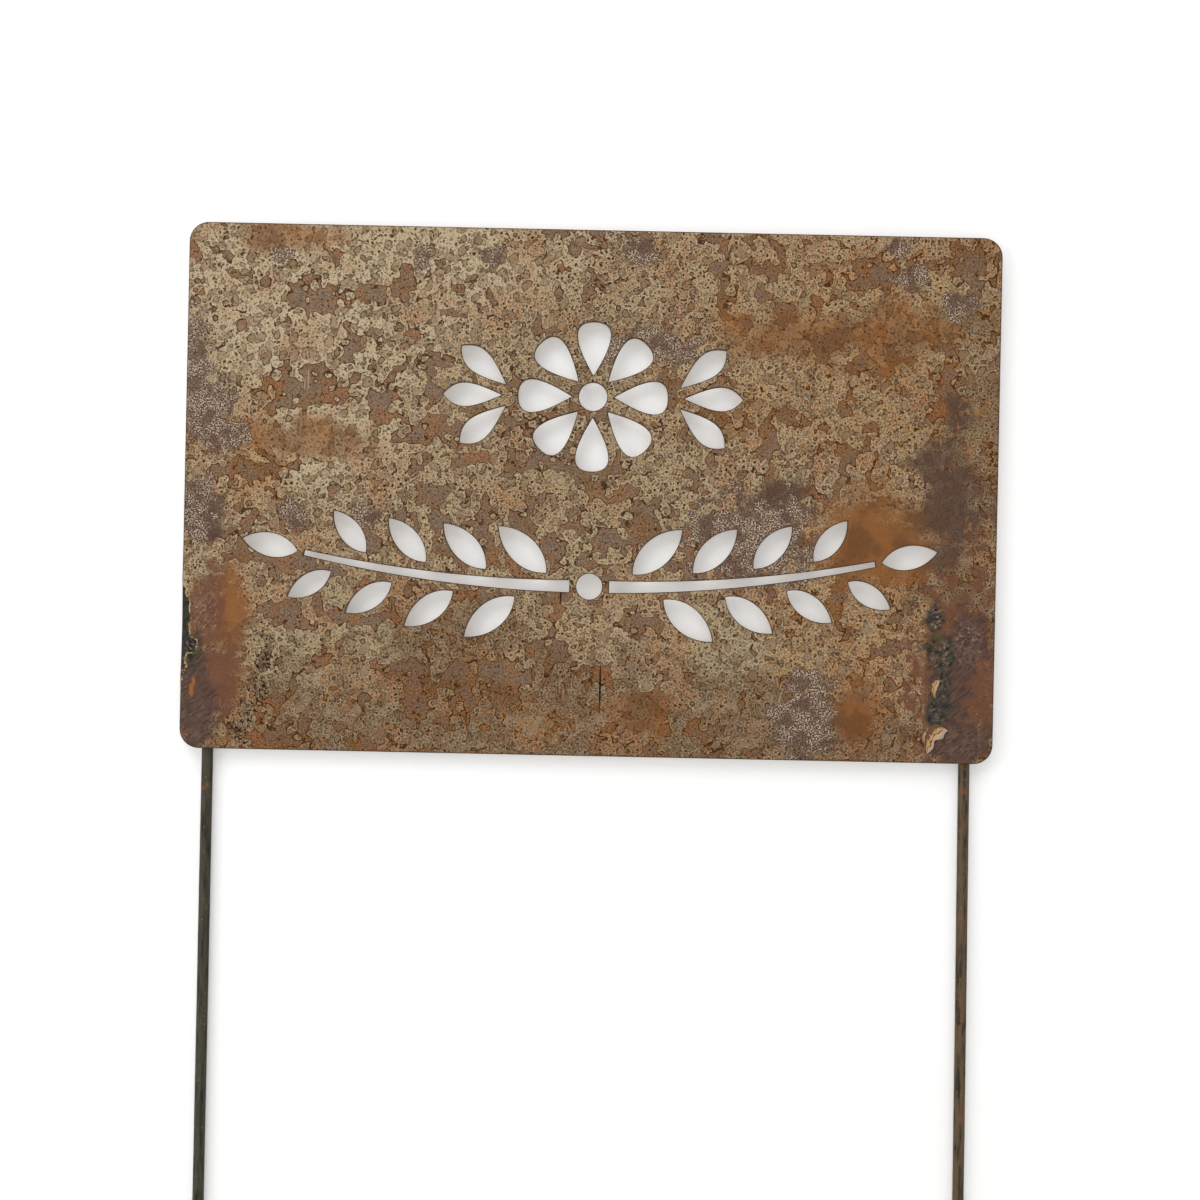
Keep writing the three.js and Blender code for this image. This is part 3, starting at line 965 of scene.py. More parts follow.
def front_material():
    material, g, surface = new_material("front_patina", "2D")
    place = plate_place(g)
    coat = Coat(g, FILM, FILM_ROUGH)
    grain = g.noise(place, FRONT_GRAIN, 1)[0]
    zones = front_zones(g, place)
    film(coat, place, grain, zones)
    calm = g.math("MAXIMUM", zones["clean"], zones["warm"])
    pits(coat, place, gap=1.7, core=0.4, strength=g.lerp(calm, 0.85, 0.6), halo=0.15)
    pits(coat, place, gap=2.7, core=0.52, strength=g.lerp(calm, 0.95, 0.85), halo=0.25)
    blots(coat, place, size=6.0, level=0.61, share=0.5)
    drops(coat, place, gap=3.9, least=0.5, most=1.3, share=g.lerp(zones["drops"], 0.3, 0.7))
    slanted = streaked(g, place, along=1.0, across=0.75, turn=60)
    drops(coat, slanted, gap=7.0, least=1.1, most=2.8, share=g.lerp(zones["pale"], 0.3, 0.6))
    stain_rim = g.paint(zones["warm"], g.paint(zones["umber"], FILM_BRIGHT, FILM_WARM), RIM_GOLD)
    bare = g.lerp(zones["pale"], g.lerp(zones["warm"], 0.865, 0.905), 0.97)
    rust_stains(coat, place, grain, bare, RUST_PATCHES, stain_rim)
    heat_wash(coat, place)
    pits(coat, place, gap=2.3, core=0.4, strength=0.7, halo=0.0)
    dark_scale(coat, place)
    curls(coat, place)
    mill_scale(coat, place)
    cracks(coat, place)
    scratches(coat, place)
    heat_smooth(coat, place)
    scorch(coat, place)
    edge_oxide_and_shade(coat)
    coat.finish(surface, FRONT_SHINE)
    return material


front_finish = front_material()
print("nodes in the front finish:", len(front_finish.node_tree.nodes))

# %% [markdown]
# ## The back of the plate
# The back has the same film with another pattern, so the place is only shifted far away on the same
# plane. Welding leaves rings of temper colours on steel. They could be painted where the welds are
# now, but ovals read from the CAD welds' boxes stay right if a weld is moved.

# %% Back finish
TEMPER_BLUE = rgb(76, 78, 82)
HEAT_REACH = 9.0
BACK_SHIFT = (1200, -700, 0)
BACK_GRAIN = 0.6
BACK_SHINE = 0.1
WELD_NAMES = sorted(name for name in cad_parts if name.endswith("_weld"))
# Each ring starts and is full at these depths, from 0 at its outline to 1 in the middle.
TEMPER_RINGS = (
    (0.0, 0.2, HEAT_ORANGE),
    (0.2, 0.36, SCORCH_PURPLE),
    (0.38, 0.5, TEMPER_BLUE),
    (0.52, 0.7, SCORCH_DARK),
)


def weld_heat(coat, place):
    """Rings of temper colours round each weld: orange, purple, blue-grey, then dark."""
    g = coat.graph
    spots = []
    for name in WELD_NAMES:
        low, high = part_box(name)
        middle = ((low + high) / 2 - plate_middle) / MM
        half = (high - low) / 2 / MM
        spots.append((middle.x, middle.z, half.x + HEAT_REACH, half.z + HEAT_REACH))
    depth = frayed_ovals(g, place, spots, 5, 4, 0.9)
    for outer, inner, tone in TEMPER_RINGS:
        coat.lay(g.times(g.ramp(depth, outer, inner), 0.85), tone, rough=0.5)


def back_zones(g, place):
    """Zones of the film on the back, from noise alone."""
    drift = g.noise(place, 60, 3)[0]
    return {
        "pale": g.ramp(drift, 0.46, 0.36),
        "olive": g.ramp(g.noise(place, 38, 2)[0], 0.5, 0.6),
        "warm": g.ramp(drift, 0.48, 0.6),
        "umber": g.ramp(g.noise(place, 52, 2)[0], 0.54, 0.66),
        "clean": g.ramp(g.noise(place, 45, 3)[0], 0.5, 0.6),
    }


def back_material():
    material, g, surface = new_material("back_patina", "2D")
    flat = plate_place(g)
    place = g.moved(flat, BACK_SHIFT)
    coat = Coat(g, FILM, FILM_ROUGH)
    grain = g.noise(place, BACK_GRAIN, 1)[0]
    zones = back_zones(g, place)
    film(coat, place, grain, zones)
    pits(coat, place, gap=1.9, core=0.4, strength=g.lerp(zones["clean"], 1.0, 0.6), halo=0.25)
    blots(coat, place, size=6.0, level=0.61, share=0.65)
    drops(coat, place, gap=4.2, least=0.6, most=1.5, share=0.6)
    rust_stains(coat, place, grain, level=0.88, patches=(), rim=FILM_BRIGHT)
    weld_heat(coat, flat)
    edge_oxide_and_shade(coat)
    coat.finish(surface, BACK_SHINE)
    return material


back_finish = back_material()
print("nodes in the back finish:", len(back_finish.node_tree.nodes))

# %% [markdown]
# ## The cut edge and the flakes
# Cutting leaves a dark oxide on the edge, with a little rust. By the right burn a few flakes of
# metal have curled up. Their colours are partly painted light: a painted highlight of pale steel
# along the side that lifts, then bright tan, then brown that darkens as painted shade on the far
# side. Patches in space would miss such small pieces, so each flake's mesh carries how far across
# it a point lies, and the finish reads that.

# %% Cut edge and flake finishes
EDGE_RUST = rgb(98, 70, 48)
FLAKE_TAN = rgb(198, 156, 104)
# Brown for the flakes, also used as their painted shade.
FLAKE_BROWN_AND_SHADE = rgb(104, 72, 46)
# Painted highlight for the side of a flake that lifts.
FLAKE_PAINTED_HIGHLIGHT = rgb(158, 152, 142)
EDGE_SHINE = 0.3
FLAKE_SHINE = 0.3


def cut_material():
    """The cut edge: dark oxide with a little rust."""
    material, g, surface = new_material("cut_edge")
    place = solid_place(g)
    coat = Coat(g, EDGE_DARK, 0.6)
    coat.lay(g.ramp(g.noise(place, 3, 3)[0], 0.45, 0.65), EDGE_RUST, rough=0.75, lift=0.05)
    coat.finish(surface, EDGE_SHINE)
    return material


def flake_material():
    """A curled flake: a painted highlight of pale steel along the side that lifts, then bright tan,
    then brown with painted shade on the far side.
    """
    material, g, surface = new_material("flake_metal")
    place = solid_place(g)
    coat = Coat(g, FLAKE_TAN, 0.45)
    across = g.math("MULTIPLY_ADD", frayed(g, place, 1.6, 3), 0.8, g.attribute("rim_share"))
    from_crease = g.math("ABSOLUTE", g.math("SUBTRACT", across, 0.36))
    coat.lay(g.ramp(from_crease, 0.09, 0.03), FLAKE_BROWN_AND_SHADE, rough=0.6)
    # Painted shade: the far side of the curl turns dark brown.
    coat.lay(g.ramp(across, 0.5, 0.68), FLAKE_BROWN_AND_SHADE, rough=0.6)
    # Painted highlight: pale steel along the side that lifts.
    coat.lay(g.ramp(across, 0.18, 0.06), FLAKE_PAINTED_HIGHLIGHT, rough=0.35)
    coat.finish(surface, FLAKE_SHINE)
    return material


plate_finishes = [front_finish, back_finish, cut_material(), flake_material()]
print("finishes of the plate:", [finish.name for finish in plate_finishes])

# %% [markdown]
# ## The plate's mesh
# A flat shape with holes could be extruded from a curve, but then its faces would hold no inner
# points for the scorched relief to move. Here each face is triangulated between the loops instead,
# over a coarse grid of points that turns fine where the metal has boiled. Narrow strips round the
# edges off, as cutting and handling do, and a ring just inside each edge carries an attribute,
# rim_share, with which the finish darkens the cut edges: partly their dark oxide, partly painted
# shade along every edge.

# %% Rings and grid points for the two faces
EDGE_ROUND = 0.18 * MM
RIM_WIDTH = 0.9 * MM
COARSE_STEP = 5.0 * MM
FINE_STEP = 0.5 * MM
FINE_ZONES = (
    (plate_low.x, plate_low.x + 26 * MM, plate_low.z, plate_low.z + 86 * MM),
    (plate_high.x - 36 * MM, plate_high.x, plate_low.z, plate_low.z + 76 * MM),
)


def metal_normals(loop):
    """At each point, the direction into the metal, lengthened at corners to keep a ring's width."""
    way = directions(loop)[0]
    left = np.stack([-way[:, 1], way[:, 0]], axis=1)
    both = left + np.roll(left, 1, axis=0)
    both /= np.linalg.norm(both, axis=1)[:, None]
    stretch = 1 / np.maximum((both * left).sum(axis=1), 0.6)
    return both * stretch[:, None]


def inset(loop, width):
    return loop + metal_normals(loop) * width


def hexagon_points(left, right, low, high, step):
    rows = np.arange(low, high, step * math.sqrt(3) / 2)
    columns = np.arange(left, right, step)
    return np.array([(x + step / 2 * (i % 2), z) for i, z in enumerate(rows) for x in columns])


def outside_zone(points, left, right, low, high):
    x, z = points.T
    return points[(x < left) | (x > right) | (z < low) | (z > high)]


def metal_finder(loops):
    """A function that keeps the points lying in the metal, at least a gap from every edge."""
    edge = np.concatenate(loops)
    inward = np.concatenate([metal_normals(loop) for loop in loops])
    tree = kdtree.KDTree(len(edge))
    for i, point in enumerate(edge):
        tree.insert((*point, 0.0), i)
    tree.balance()

    def keep(points, gap):
        nearest = [tree.find((*point, 0.0))[1] for point in points]
        depth = ((points - edge[nearest]) * inward[nearest]).sum(axis=1)
        return points[depth > gap]

    return keep


in_metal = metal_finder(plate_loops)
coarse = hexagon_points(plate_low.x, plate_high.x, plate_low.z, plate_high.z, COARSE_STEP)
back_grid = in_metal(coarse, 2 * RIM_WIDTH)
front_grid = back_grid
for zone in FINE_ZONES:
    fine = in_metal(hexagon_points(*zone, FINE_STEP), 1.5 * RIM_WIDTH)
    front_grid = np.concatenate([outside_zone(front_grid, *zone), fine])
print("grid points, front and back:", len(front_grid), len(back_grid))

# %% [markdown]
# ## The flakes
# Three thin flakes of metal have curled off the plate beside the right burn. A subdivided plane
# could be sculpted for each. A formula is easier to change: it carries a grid from the flake's root
# to its tip, narrows it, makes its sides ragged and lifts its left side. Two such grids, one above
# the other, are closed into a sheet.

# %% Flakes
# The plate's mesh holds its finishes in this order.
FRONT, BACK, CUT, FLAKE = range(4)
# Each flake is the x and z of its root and of its tip in millimetres from the plate's middle, half
# its width at the root, and how far its left side lifts.
FLAKES = (
    ((148.4, -76.4), (147.8, -84.2), 1.5, 0.5),
    ((151.4, -96.4), (144.8, -107.6), 3.0, 1.1),
    ((143.9, -98.4), (143.9, -103.4), 0.6, 0.4),
)
FLAKE_STEPS = 24
FLAKE_THICK = 0.3
FLAKE_BOW = 0.16
FLAKE_RAGGED = 0.5


def flake_point(root, tip, wide, lift, u, v):
    """A point on a flake, from its left side at u = -1 to its right and from its root to its tip."""
    along = Vector(tip) - Vector(root)
    side = Vector((-along.y, along.x)).normalized()
    ragged = 1.0 + FLAKE_RAGGED * noise.noise((1.5 * u + wide, 5.0 * v, lift))
    taper = math.sin(math.pi * (0.3 + 0.7 * v)) ** 0.8 + 0.03
    bow = FLAKE_BOW * along.length * math.sin(math.pi * v)
    x, z = Vector(root) + along * v - side * (u * wide * taper * ragged + bow)
    curl = lift * (0.5 - 0.5 * u) ** 1.6 * math.sin(math.pi * (0.15 + 0.8 * v))
    return x, z, scorch_relief(x, z)[0] + curl


def add_flake(shell, root, tip, wide, lift):
    """A thin curled sheet that lies in the plate's front and lifts off along its left side."""
    rim_share = shell.verts.layers.float["rim_share"]
    layers = []
    for thick in (-FLAKE_THICK, FLAKE_THICK / 3):
        rows = []
        for v in np.linspace(0.0, 1.0, FLAKE_STEPS):
            row = []
            for u in np.linspace(-1.0, 1.0, FLAKE_STEPS):
                x, z, height = flake_point(root, tip, wide, lift, u, v)
                where = plate_middle + Vector((x, 0, z)) * MM
                vert = shell.verts.new((where.x, plate_low.y - (height + thick) * MM, where.z))
                vert[rim_share] = 0.5 + 0.5 * u
                row.append(vert)
            rows.append(row)
        layers.append(rows)
    close_sheet(shell, *layers)


def close_sheet(shell, under, over):
    """Faces over two grids of points, and a wall round them."""
    last = FLAKE_STEPS - 1
    quads = []
    for rows in (under, over):
        quads += [(rows[i][j], rows[i][j + 1], rows[i + 1][j + 1], rows[i + 1][j])
                  for i in range(last) for j in range(last)]
    border = [(0, j) for j in range(last)] + [(i, last) for i in range(last)]
    border += [(last, j) for j in range(last, 0, -1)] + [(i, 0) for i in range(last, 0, -1)]
    for (i, j), (k, m) in zip(border, border[1:] + border[:1]):
        quads.append((under[i][j], under[k][m], over[k][m], over[i][j]))
    for quad in quads:
        shell.faces.new(quad).material_index = FLAKE


print("flake lengths in mm:", [round(math.dist(root, tip), 1) for root, tip, *rest in FLAKES])

# %% [markdown]
# ## Putting the plate together
# The plate is one shell: a front, a back, a wall round every loop, and the flakes. Solidify could
# give a flat outline its thickness, but front and back have different points here, because only
# the front has boiled. So the two faces are laid separately, and walls with rounded edges join
# their rims.

# %% Lay the two faces
INSIDE_THE_LOOPS = 1
SAME_POINT = 1e-6


def front_point(x, z):
    """How deep the front lies at a point, and its crest."""
    height, crest = scorch_relief((x - plate_middle.x) / MM, (z - plate_middle.z) / MM)
    return plate_low.y - height * MM, crest


def back_point(x, z):
    return plate_high.y, 0.0


def cover(shell, rim_loops, grid, surface, finish):
    """Lays triangles over one face and returns its rim points, loop by loop."""
    loops = [*rim_loops, *(inset(loop, RIM_WIDTH) for loop in plate_loops)]
    starts = np.cumsum([0, *map(len, loops)])
    edges = []
    for start, loop in zip(starts, loops):
        edges += [(start + i, start + (i + 1) % len(loop)) for i in range(len(loop))]
    points = np.concatenate([*loops, grid])
    flat = [Vector(point) for point in points / MM]
    triangles = geometry.delaunay_2d_cdt(flat, edges, [], INSIDE_THE_LOOPS, SAME_POINT, False)[2]
    rim_end = starts[len(rim_loops)]
    rim_share = shell.verts.layers.float["rim_share"]
    crest_layer = shell.verts.layers.float["crest"]
    verts = []
    for i, (x, z) in enumerate(points):
        y, crest = surface(x, z)
        vert = shell.verts.new((x, y, z))
        vert[rim_share] = float(i >= rim_end)
        vert[crest_layer] = crest
        verts.append(vert)
    # A triangle with all its corners on the rim lies in a hole.
    for triangle in triangles:
        if max(triangle) >= rim_end:
            face = shell.faces.new([verts[i] for i in triangle])
            face.material_index = finish
    return [verts[start:start + len(loop)] for start, loop in zip(starts, rim_loops)]


flat_front = front_point(plate_middle.x, plate_middle.z)[0]
print("front and back at mm:", round(flat_front / MM, 2), round(plate_high.y / MM, 2))

# %% Build the plate
PLATE_SHARP = math.radians(50)


def wall(shell, rows):
    """Strips of faces around one loop, from a row of points to the next."""
    for upper, lower in zip(rows, rows[1:]):
        for i in range(len(upper)):
            face = shell.faces.new((upper[i - 1], upper[i], lower[i], lower[i - 1]))
            face.material_index = CUT


def build_plate():
    shell = bmesh.new()
    shell.verts.layers.float.new("rim_share")
    shell.verts.layers.float.new("crest")
    rim = [inset(loop, EDGE_ROUND) for loop in plate_loops]
    front = cover(shell, rim, front_grid, front_point, FRONT)
    back = cover(shell, rim, back_grid, back_point, BACK)
    for loop, front_row, back_row in zip(plate_loops, front, back):
        upper = [shell.verts.new((x, front_point(x, z)[0] + EDGE_ROUND, z)) for x, z in loop]
        lower = [shell.verts.new((x, plate_high.y - EDGE_ROUND, z)) for x, z in loop]
        wall(shell, [front_row, upper, lower, back_row])
    for flake in FLAKES:
        add_flake(shell, *flake)
    bmesh.ops.recalc_face_normals(shell, faces=shell.faces)
    mesh = bpy.data.meshes.new("patina_plate")
    shell.to_mesh(mesh)
    shell.free()
    for finish in plate_finishes:
        mesh.materials.append(finish)
    mesh.shade_smooth()
    mesh.set_sharp_from_angle(angle=PLATE_SHARP)
    plate = bpy.data.objects.new("patina_plate", mesh)
    bpy.context.collection.objects.link(plate)
    return plate


plate = build_plate()
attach(plate, "root")
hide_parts("sign_plate")
print("plate faces:", len(plate.data.polygons))

# %% [markdown]
# ## Geometry Nodes helpers
# The stakes and the welds follow a rule: something is carried along a line. Geometry Nodes suit
# that well. Each tree gets named inputs for its sizes, and once it has grown its shape, the result
# is turned into a plain mesh.

# %% Grow a mesh from a tree


def node_group(name, **inputs):
    """A Geometry Nodes tree with these named inputs: its graph, and the inputs by name."""
    tree = bpy.data.node_groups.new(name, "GeometryNodeTree")
    tree.interface.new_socket("Geometry", in_out="OUTPUT", socket_type="NodeSocketGeometry")
    for label, kind in inputs.items():
        tree.interface.new_socket(label, in_out="INPUT", socket_type=f"NodeSocket{kind}")
    graph = Graph(tree)
    return graph, graph.node("NodeGroupInput").outputs


def end_tree(g, shape, finish):
    """The last nodes of every tree."""
    real = g.node("GeometryNodeRealizeInstances", {0: shape}).outputs[0]
    smooth = g.node("GeometryNodeSetShadeSmooth", {0: real}).outputs[0]
    done = g.node("GeometryNodeSetMaterial", {0: smooth, "Material": finish}).outputs[0]
    g.node("NodeGroupOutput", {"Geometry": done})
    return g.tree


def grow(name, tree, sharp_angle, **values):
    """The tree's result as a plain mesh, with these values on its inputs."""
    piece = bpy.data.objects.new(name, bpy.data.meshes.new(name))
    bpy.context.collection.objects.link(piece)
    modifier = piece.modifiers.new(tree.name, "NODES")
    modifier.node_group = tree
    for item in tree.interface.items_tree:
        if item.name in values:
            modifier[item.identifier] = values[item.name]
    depsgraph = bpy.context.evaluated_depsgraph_get()
    mesh = bpy.data.meshes.new_from_object(piece.evaluated_get(depsgraph), depsgraph=depsgraph)
    piece.modifiers.clear()
    piece.data = mesh
    mesh.set_sharp_from_angle(angle=sharp_angle)
    print(name, "faces:", len(mesh.polygons))
    return piece


# %% [markdown]
# ## The finish of the stakes
# The bars are dark, olive on the left and browner on the right, with scale drawn out along them,
# specks of rust and a few pale flecks. An image would have to be wrapped round each bar. A pattern
# in solid space needs no wrapping, and squeezing it along Z draws the scale out.

# %% Stake finishes
BAR_OLIVE = rgb(74, 70, 57)
BAR_BROWN = rgb(99, 82, 61)
BAR_DARK = rgb(44, 41, 36)
BAR_RUST = rgb(124, 84, 54)
BAR_PALE = rgb(140, 128, 108)
BAR_SHINE = 0.15


def bar_material(name, base, rust_share):
    """Dark drawn bar with scale along its length and specks of rust."""
    material, g, surface = new_material(name)
    place = solid_place(g)
    coat = Coat(g, base, 0.5)
    long_place = g.vector("MULTIPLY", place, (1.0, 1.0, 0.12))
    coat.lay(g.ramp(g.noise(long_place, 1.6, 4, 0.6)[0], 0.45, 0.68), BAR_DARK, rough=0.6, lift=-0.03)
    specks = g.noise(place, 9, 5, 0.65)[0]
    rust = g.ramp(specks, 0.66 - 0.16 * rust_share, 0.78 - 0.1 * rust_share)
    coat.lay(rust, BAR_RUST, rough=0.8, lift=0.04)
    distance, chance = g.cells(place, 1.6)
    fleck = g.times(g.ramp(distance, 0.5, 0.2), g.ramp(chance[0], 0.7, 1.0))
    coat.lay(g.times(fleck, 0.6), BAR_PALE)
    coat.finish(surface, BAR_SHINE)
    return material


bar_finishes = {
    "left_stake": bar_material("left_bar_steel", BAR_OLIVE, rust_share=0.3),
    "right_stake": bar_material("right_bar_steel", BAR_BROWN, rust_share=0.8),
}
print("bar finishes:", [finish.name for finish in bar_finishes.values()])

# %% [markdown]
# ## The stakes
# Each stake is a length of thin round bar, cut off at a slant to push into soil. Bar from a coil is
# never quite straight or smooth. A cylinder would look too perfect, so a circle is swept along a
# line that sways a little, its surface gets shallow dents, and its lowest ring is sheared to the
# slant that the CAD bar has.

# %% Tree for a stake
STAKE_SIDES = 36
SWAY_LENGTH = 90 * MM
DENT_LENGTH = 4 * MM
FOOT_BAND = 0.1 * MM


def stake_tree():
    g, given = node_group(
        "stake_bar", Foot="Vector", Head="Vector", Slant="Vector", Radius="Float", Step="Float",
        Sway="Float", Dent="Float", Finish="Material",
    )
    line = g.node("GeometryNodeCurvePrimitiveLine", {"Start": given["Foot"], "End": given["Head"]})
    inputs = {"Curve": line.outputs[0], "Length": given["Step"]}
    line = g.node("GeometryNodeResampleCurve", inputs, mode="LENGTH").outputs[0]
    here = g.node("GeometryNodeInputPosition").outputs[0]
    sway = g.vector("SUBTRACT", g.noise(here, SWAY_LENGTH)[1], (0.5, 0.5, 0.5))
    sway = g.scaled(g.vector("MULTIPLY", sway, (1, 1, 0)), given["Sway"])
    line = g.node("GeometryNodeSetPosition", {0: line, "Offset": sway}).outputs[0]
    inputs = {"Resolution": STAKE_SIDES, "Radius": given["Radius"]}
    ring = g.node("GeometryNodeCurvePrimitiveCircle", inputs).outputs[0]
    inputs = {"Curve": line, "Profile Curve": ring, "Fill Caps": True}
    bar = g.node("GeometryNodeCurveToMesh", inputs).outputs[0]
    swell_by = g.math("SUBTRACT", g.noise(here, DENT_LENGTH, 3)[0], 0.5)
    normal = g.node("GeometryNodeInputNormal").outputs[0]
    dent = g.scaled(normal, g.times(swell_by, given["Dent"]))
    bar = g.node("GeometryNodeSetPosition", {0: bar, "Offset": dent}).outputs[0]
    from_foot = g.vector("SUBTRACT", here, given["Foot"])
    height = g.node("ShaderNodeSeparateXYZ", {0: from_foot}).outputs["Z"]
    inputs = {"A": height, "B": FOOT_BAND}
    at_foot = g.node("FunctionNodeCompare", inputs, operation="LESS_THAN").outputs[0]
    drop = g.vector("DOT_PRODUCT", from_foot, given["Slant"])
    offset = g.node("ShaderNodeCombineXYZ", {"Z": drop}).outputs[0]
    bar = g.node("GeometryNodeSetPosition", {0: bar, "Selection": at_foot, "Offset": offset}).outputs[0]
    return end_tree(g, bar, given["Finish"])


bar_tree = stake_tree()
print("nodes in the stake's tree:", len(bar_tree.nodes))

# %% [markdown]
# ## Measuring and growing the stakes
# The right bar leans, and both are cut at a slant, so the tree needs their feet, heads and slopes.
# These could be typed in, but the CAD bars hold them: each bar is two rings of points, whose
# middles are its ends, and a plane fitted to the lower ring gives the slant.

# %% Grow the stakes
STAKE_STEP = 5.0 * MM
STAKE_SWAY = 0.25 * MM
STAKE_DENT = 0.10 * MM
STAKE_SHARP = math.radians(40)


def measure_bar(node):
    """Foot and head centres, radius and end slope of a CAD bar, from its two rings of points."""
    points = np.unique(np.array([vert.co for vert in node.data.vertices]).round(7), axis=0)
    upper = points[:, 2] > points[:, 2].mean()
    head = points[upper].mean(axis=0)
    ring = points[~upper]
    foot = ring.mean(axis=0)
    slope = np.linalg.lstsq((ring - foot)[:, :2], (ring - foot)[:, 2], rcond=None)[0]
    radius = np.linalg.norm(points[upper] - head, axis=1).max()
    return Vector(foot), Vector(head), float(radius), (*map(float, slope), 0.0)


def build_stakes():
    for node_name, finish in bar_finishes.items():
        foot, head, radius, slope = measure_bar(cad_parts[node_name])
        slot = node_name.replace("stake", "bar")
        stake = grow(
            slot, bar_tree, STAKE_SHARP, Foot=foot, Head=head, Slant=slope, Radius=radius,
            Step=STAKE_STEP, Sway=STAKE_SWAY, Dent=STAKE_DENT, Finish=finish,
        )
        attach(stake, "root")
        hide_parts(node_name)
        print(node_name, "radius in mm:", round(radius / MM, 2))


build_stakes()

# %% [markdown]
# ## The finish of the welds
# Weld metal is bright steel when it freezes, then turns blue and, outdoors, brown. One even grey
# would look like plastic, so two noises lay blue and rough brown over it.

# %% Weld finish
WELD_STEEL = rgb(92, 84, 75)
WELD_BLUE = rgb(72, 73, 77)
WELD_BROWN = rgb(110, 76, 50)
WELD_SHINE = 0.5


def weld_material():
    material, g, surface = new_material("weld_steel")
    place = solid_place(g)
    coat = Coat(g, WELD_STEEL, 0.42)
    coat.lay(g.ramp(g.noise(place, 5, 3)[0], 0.46, 0.62), WELD_BLUE, rough=0.35)
    coat.lay(g.ramp(g.noise(place, 2.2, 4, 0.6)[0], 0.48, 0.60), WELD_BROWN, rough=0.7, lift=0.08)
    coat.finish(surface, WELD_SHINE)
    return material


weld_finish = weld_material()
print("weld finish:", weld_finish.name)

# %% [markdown]
# ## The welds
# A stitch weld is a row of puddles that froze one after another, so it looks like fallen coins.
# A lofted bead would be smooth. Here each puddle is a squashed ball, set at equal steps along the
# seam with a little fixed randomness, and a union melts them into one skin. Tiny balls of spatter
# lie around each stitch, as they do round a real one.

# %% Tree for a weld
PUDDLE_LEAST = 0.9
PUDDLE_MOST = 1.1
SPATTER_LEAST = 0.12 * MM
SPATTER_MOST = 0.6 * MM


def puddle_row(g, given):
    """Squashed balls at equal steps along the seam, melted into one skin."""
    line = g.node("GeometryNodeCurvePrimitiveLine", {"Start": given["Start"], "End": given["End"]})
    inputs = {"Curve": line.outputs[0], "Length": given["Pitch"]}
    line = g.node("GeometryNodeResampleCurve", inputs, mode="LENGTH").outputs[0]
    ball = g.node("GeometryNodeMeshUVSphere", {"Segments": 20, "Rings": 12, "Radius": 1.0}).outputs[0]
    inputs = {"Min": (PUDDLE_LEAST,) * 3, "Max": (PUDDLE_MOST,) * 3, "Seed": given["Seed"]}
    chance = g.node("FunctionNodeRandomValue", inputs, data_type="FLOAT_VECTOR").outputs[0]
    inputs = {
        "Points": line, "Instance": ball, "Rotation": given["Turn"],
        "Scale": g.vector("MULTIPLY", given["Puddle"], chance),
    }
    puddles = g.node("GeometryNodeInstanceOnPoints", inputs).outputs[0]
    puddles = g.node("GeometryNodeRealizeInstances", {0: puddles}).outputs[0]
    inputs = {"Mesh 2": puddles, "Self Intersection": True}
    return g.node("GeometryNodeMeshBoolean", inputs, operation="UNION", solver="EXACT").outputs[0]


def spatter(g, given):
    """Tiny balls strewn over a field on the plate, most of them very small."""
    inputs = {
        "Size X": given["FieldWide"], "Size Y": given["FieldHigh"],
        "Vertices X": 2, "Vertices Y": 2,
    }
    field = g.node("GeometryNodeMeshGrid", inputs).outputs[0]
    inputs = {0: field, "Translation": given["Field"], "Rotation": (math.pi / 2, 0, 0)}
    field = g.node("GeometryNodeTransform", inputs).outputs[0]
    inputs = {"Mesh": field, "Density": given["Density"], "Seed": given["Seed"]}
    spots = g.node("GeometryNodeDistributePointsOnFaces", inputs).outputs[0]
    drop = g.node("GeometryNodeMeshIcoSphere", {"Radius": 1.0, "Subdivisions": 2}).outputs[0]
    inputs = {"Min": 0.0, "Max": 1.0, "Seed": given["Seed"]}
    size = g.math("POWER", g.node("FunctionNodeRandomValue", inputs).outputs[1], 3.0)
    size = g.lerp(size, SPATTER_LEAST, SPATTER_MOST)
    inputs = {"Points": spots, "Instance": drop, "Scale": size}
    return g.node("GeometryNodeInstanceOnPoints", inputs).outputs[0]


def weld_tree():
    g, given = node_group(
        "stitch_weld", Start="Vector", End="Vector", Puddle="Vector", Turn="Vector", Pitch="Float",
        Field="Vector", FieldWide="Float", FieldHigh="Float", Density="Float", Seed="Int",
        Finish="Material",
    )
    both = g.node("GeometryNodeJoinGeometry", {0: puddle_row(g, given)})
    g.tree.links.new(spatter(g, given), both.inputs[0])
    return end_tree(g, both.outputs[0], given["Finish"])


stitch_tree = weld_tree()
print("nodes in the weld's tree:", len(stitch_tree.nodes))

# %% [markdown]
# ## Laying the welds
# Each stitch takes its place and length from the box of its CAD weld. The puddles could be sized by
# eye, but then they might sink through the plate or float off it. So the seam lies where the largest
# puddle, tilted as it is, just sinks into the plate's back, and the spatter's field stays on the
# plate.

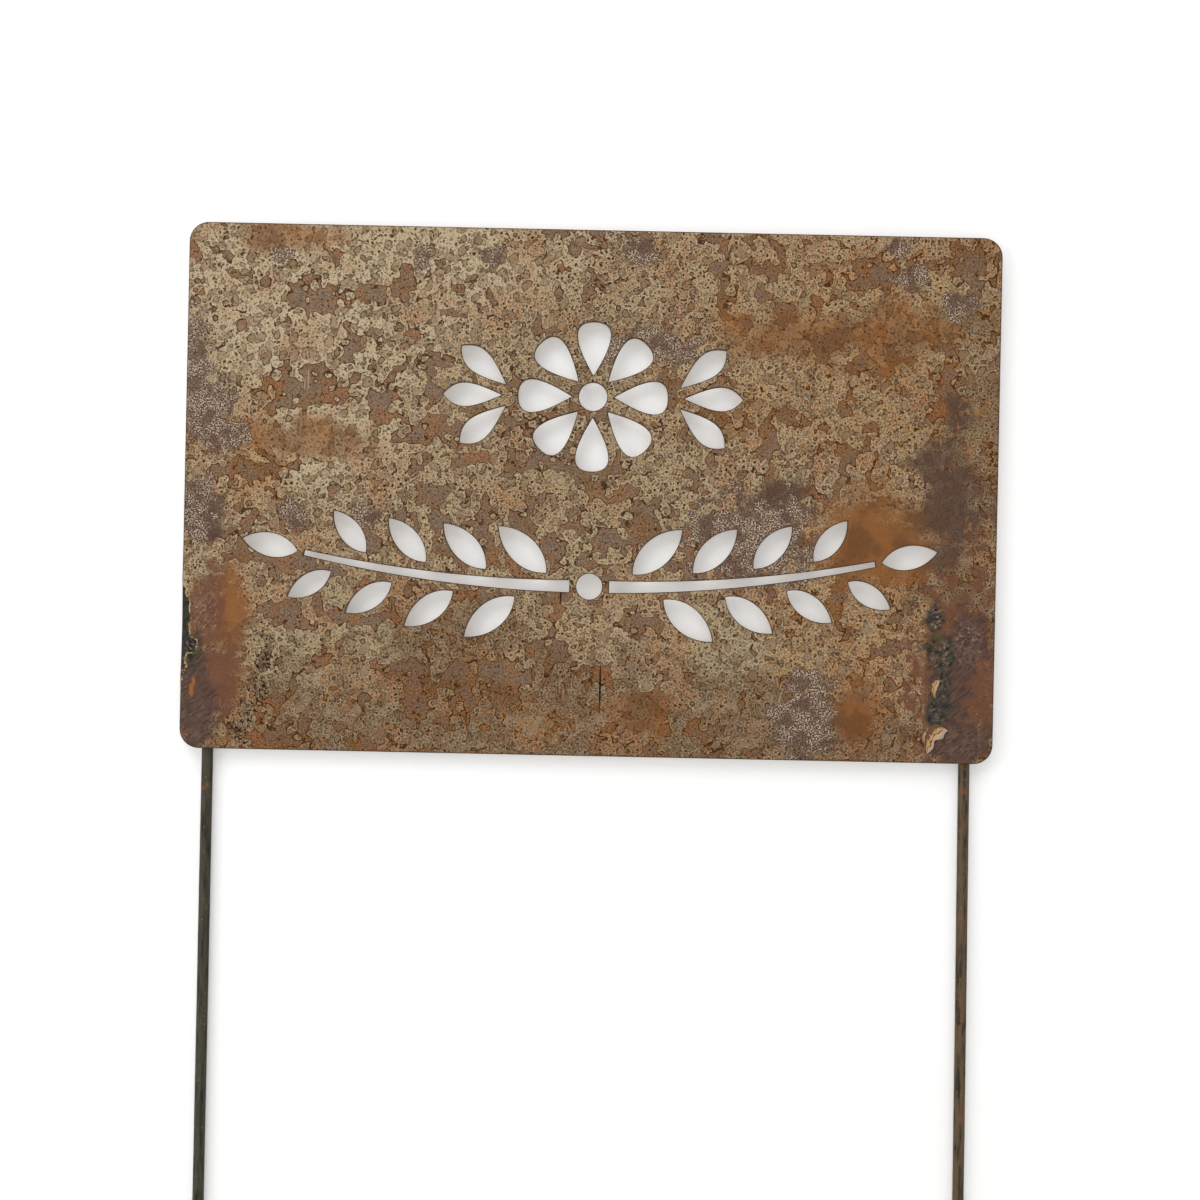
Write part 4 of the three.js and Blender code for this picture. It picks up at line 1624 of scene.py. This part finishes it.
# %% Lay the welds
PUDDLE_PITCH = 2.8 * MM
PUDDLE_TILT = math.radians(30)
PUDDLE_LEAN = math.radians(24)
PUDDLE_SINK = 0.5 * MM
# A puddle's half size is these shares of the weld's width, of its depth and of the pitch.
PUDDLE_WIDE = 0.56
PUDDLE_DEEP = 0.45
PUDDLE_LONG = 1.1
# The room at each end of the seam is this share of the pitch.
END_ROOM = 0.8
SPATTER_COUNT = 26
SPATTER_WIDE = 15 * MM
SPATTER_BEYOND = 12 * MM
SPATTER_INSET = 9 * MM
WELD_SHARP = math.radians(30)


def puddle_reach(puddle):
    """How far the largest puddle reaches towards the plate from the seam, tilted as it is."""
    return PUDDLE_MOST * math.hypot(puddle.y * math.cos(PUDDLE_TILT), puddle.z * math.sin(PUDDLE_TILT))


def build_welds():
    for seed, name in enumerate(WELD_NAMES):
        low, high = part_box(name)
        middle = (low + high) / 2
        size = high - low
        end_room = Vector((0, 0, PUDDLE_PITCH * END_ROOM))
        puddle = Vector((PUDDLE_WIDE * size.x, PUDDLE_DEEP * size.y, PUDDLE_LONG * PUDDLE_PITCH))
        seam = Vector((middle.x, plate_high.y + puddle_reach(puddle) - PUDDLE_SINK, 0))
        field_high = size.z + SPATTER_BEYOND
        field_x = min(max(middle.x, plate_low.x + SPATTER_INSET), plate_high.x - SPATTER_INSET)
        weld = grow(
            name.replace("weld", "stitch"), stitch_tree, WELD_SHARP,
            Seed=seed, Finish=weld_finish, Pitch=PUDDLE_PITCH,
            Start=seam + Vector((0, 0, low.z)) + end_room,
            End=seam + Vector((0, 0, high.z)) - end_room,
            Puddle=puddle, Turn=Vector((PUDDLE_TILT, 0, PUDDLE_LEAN)),
            Field=Vector((field_x, plate_high.y, middle.z)),
            FieldWide=SPATTER_WIDE, FieldHigh=field_high,
            Density=SPATTER_COUNT / (SPATTER_WIDE * field_high),
        )
        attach(weld, "root")
        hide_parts(name)


build_welds()

# %% [markdown] ## The end
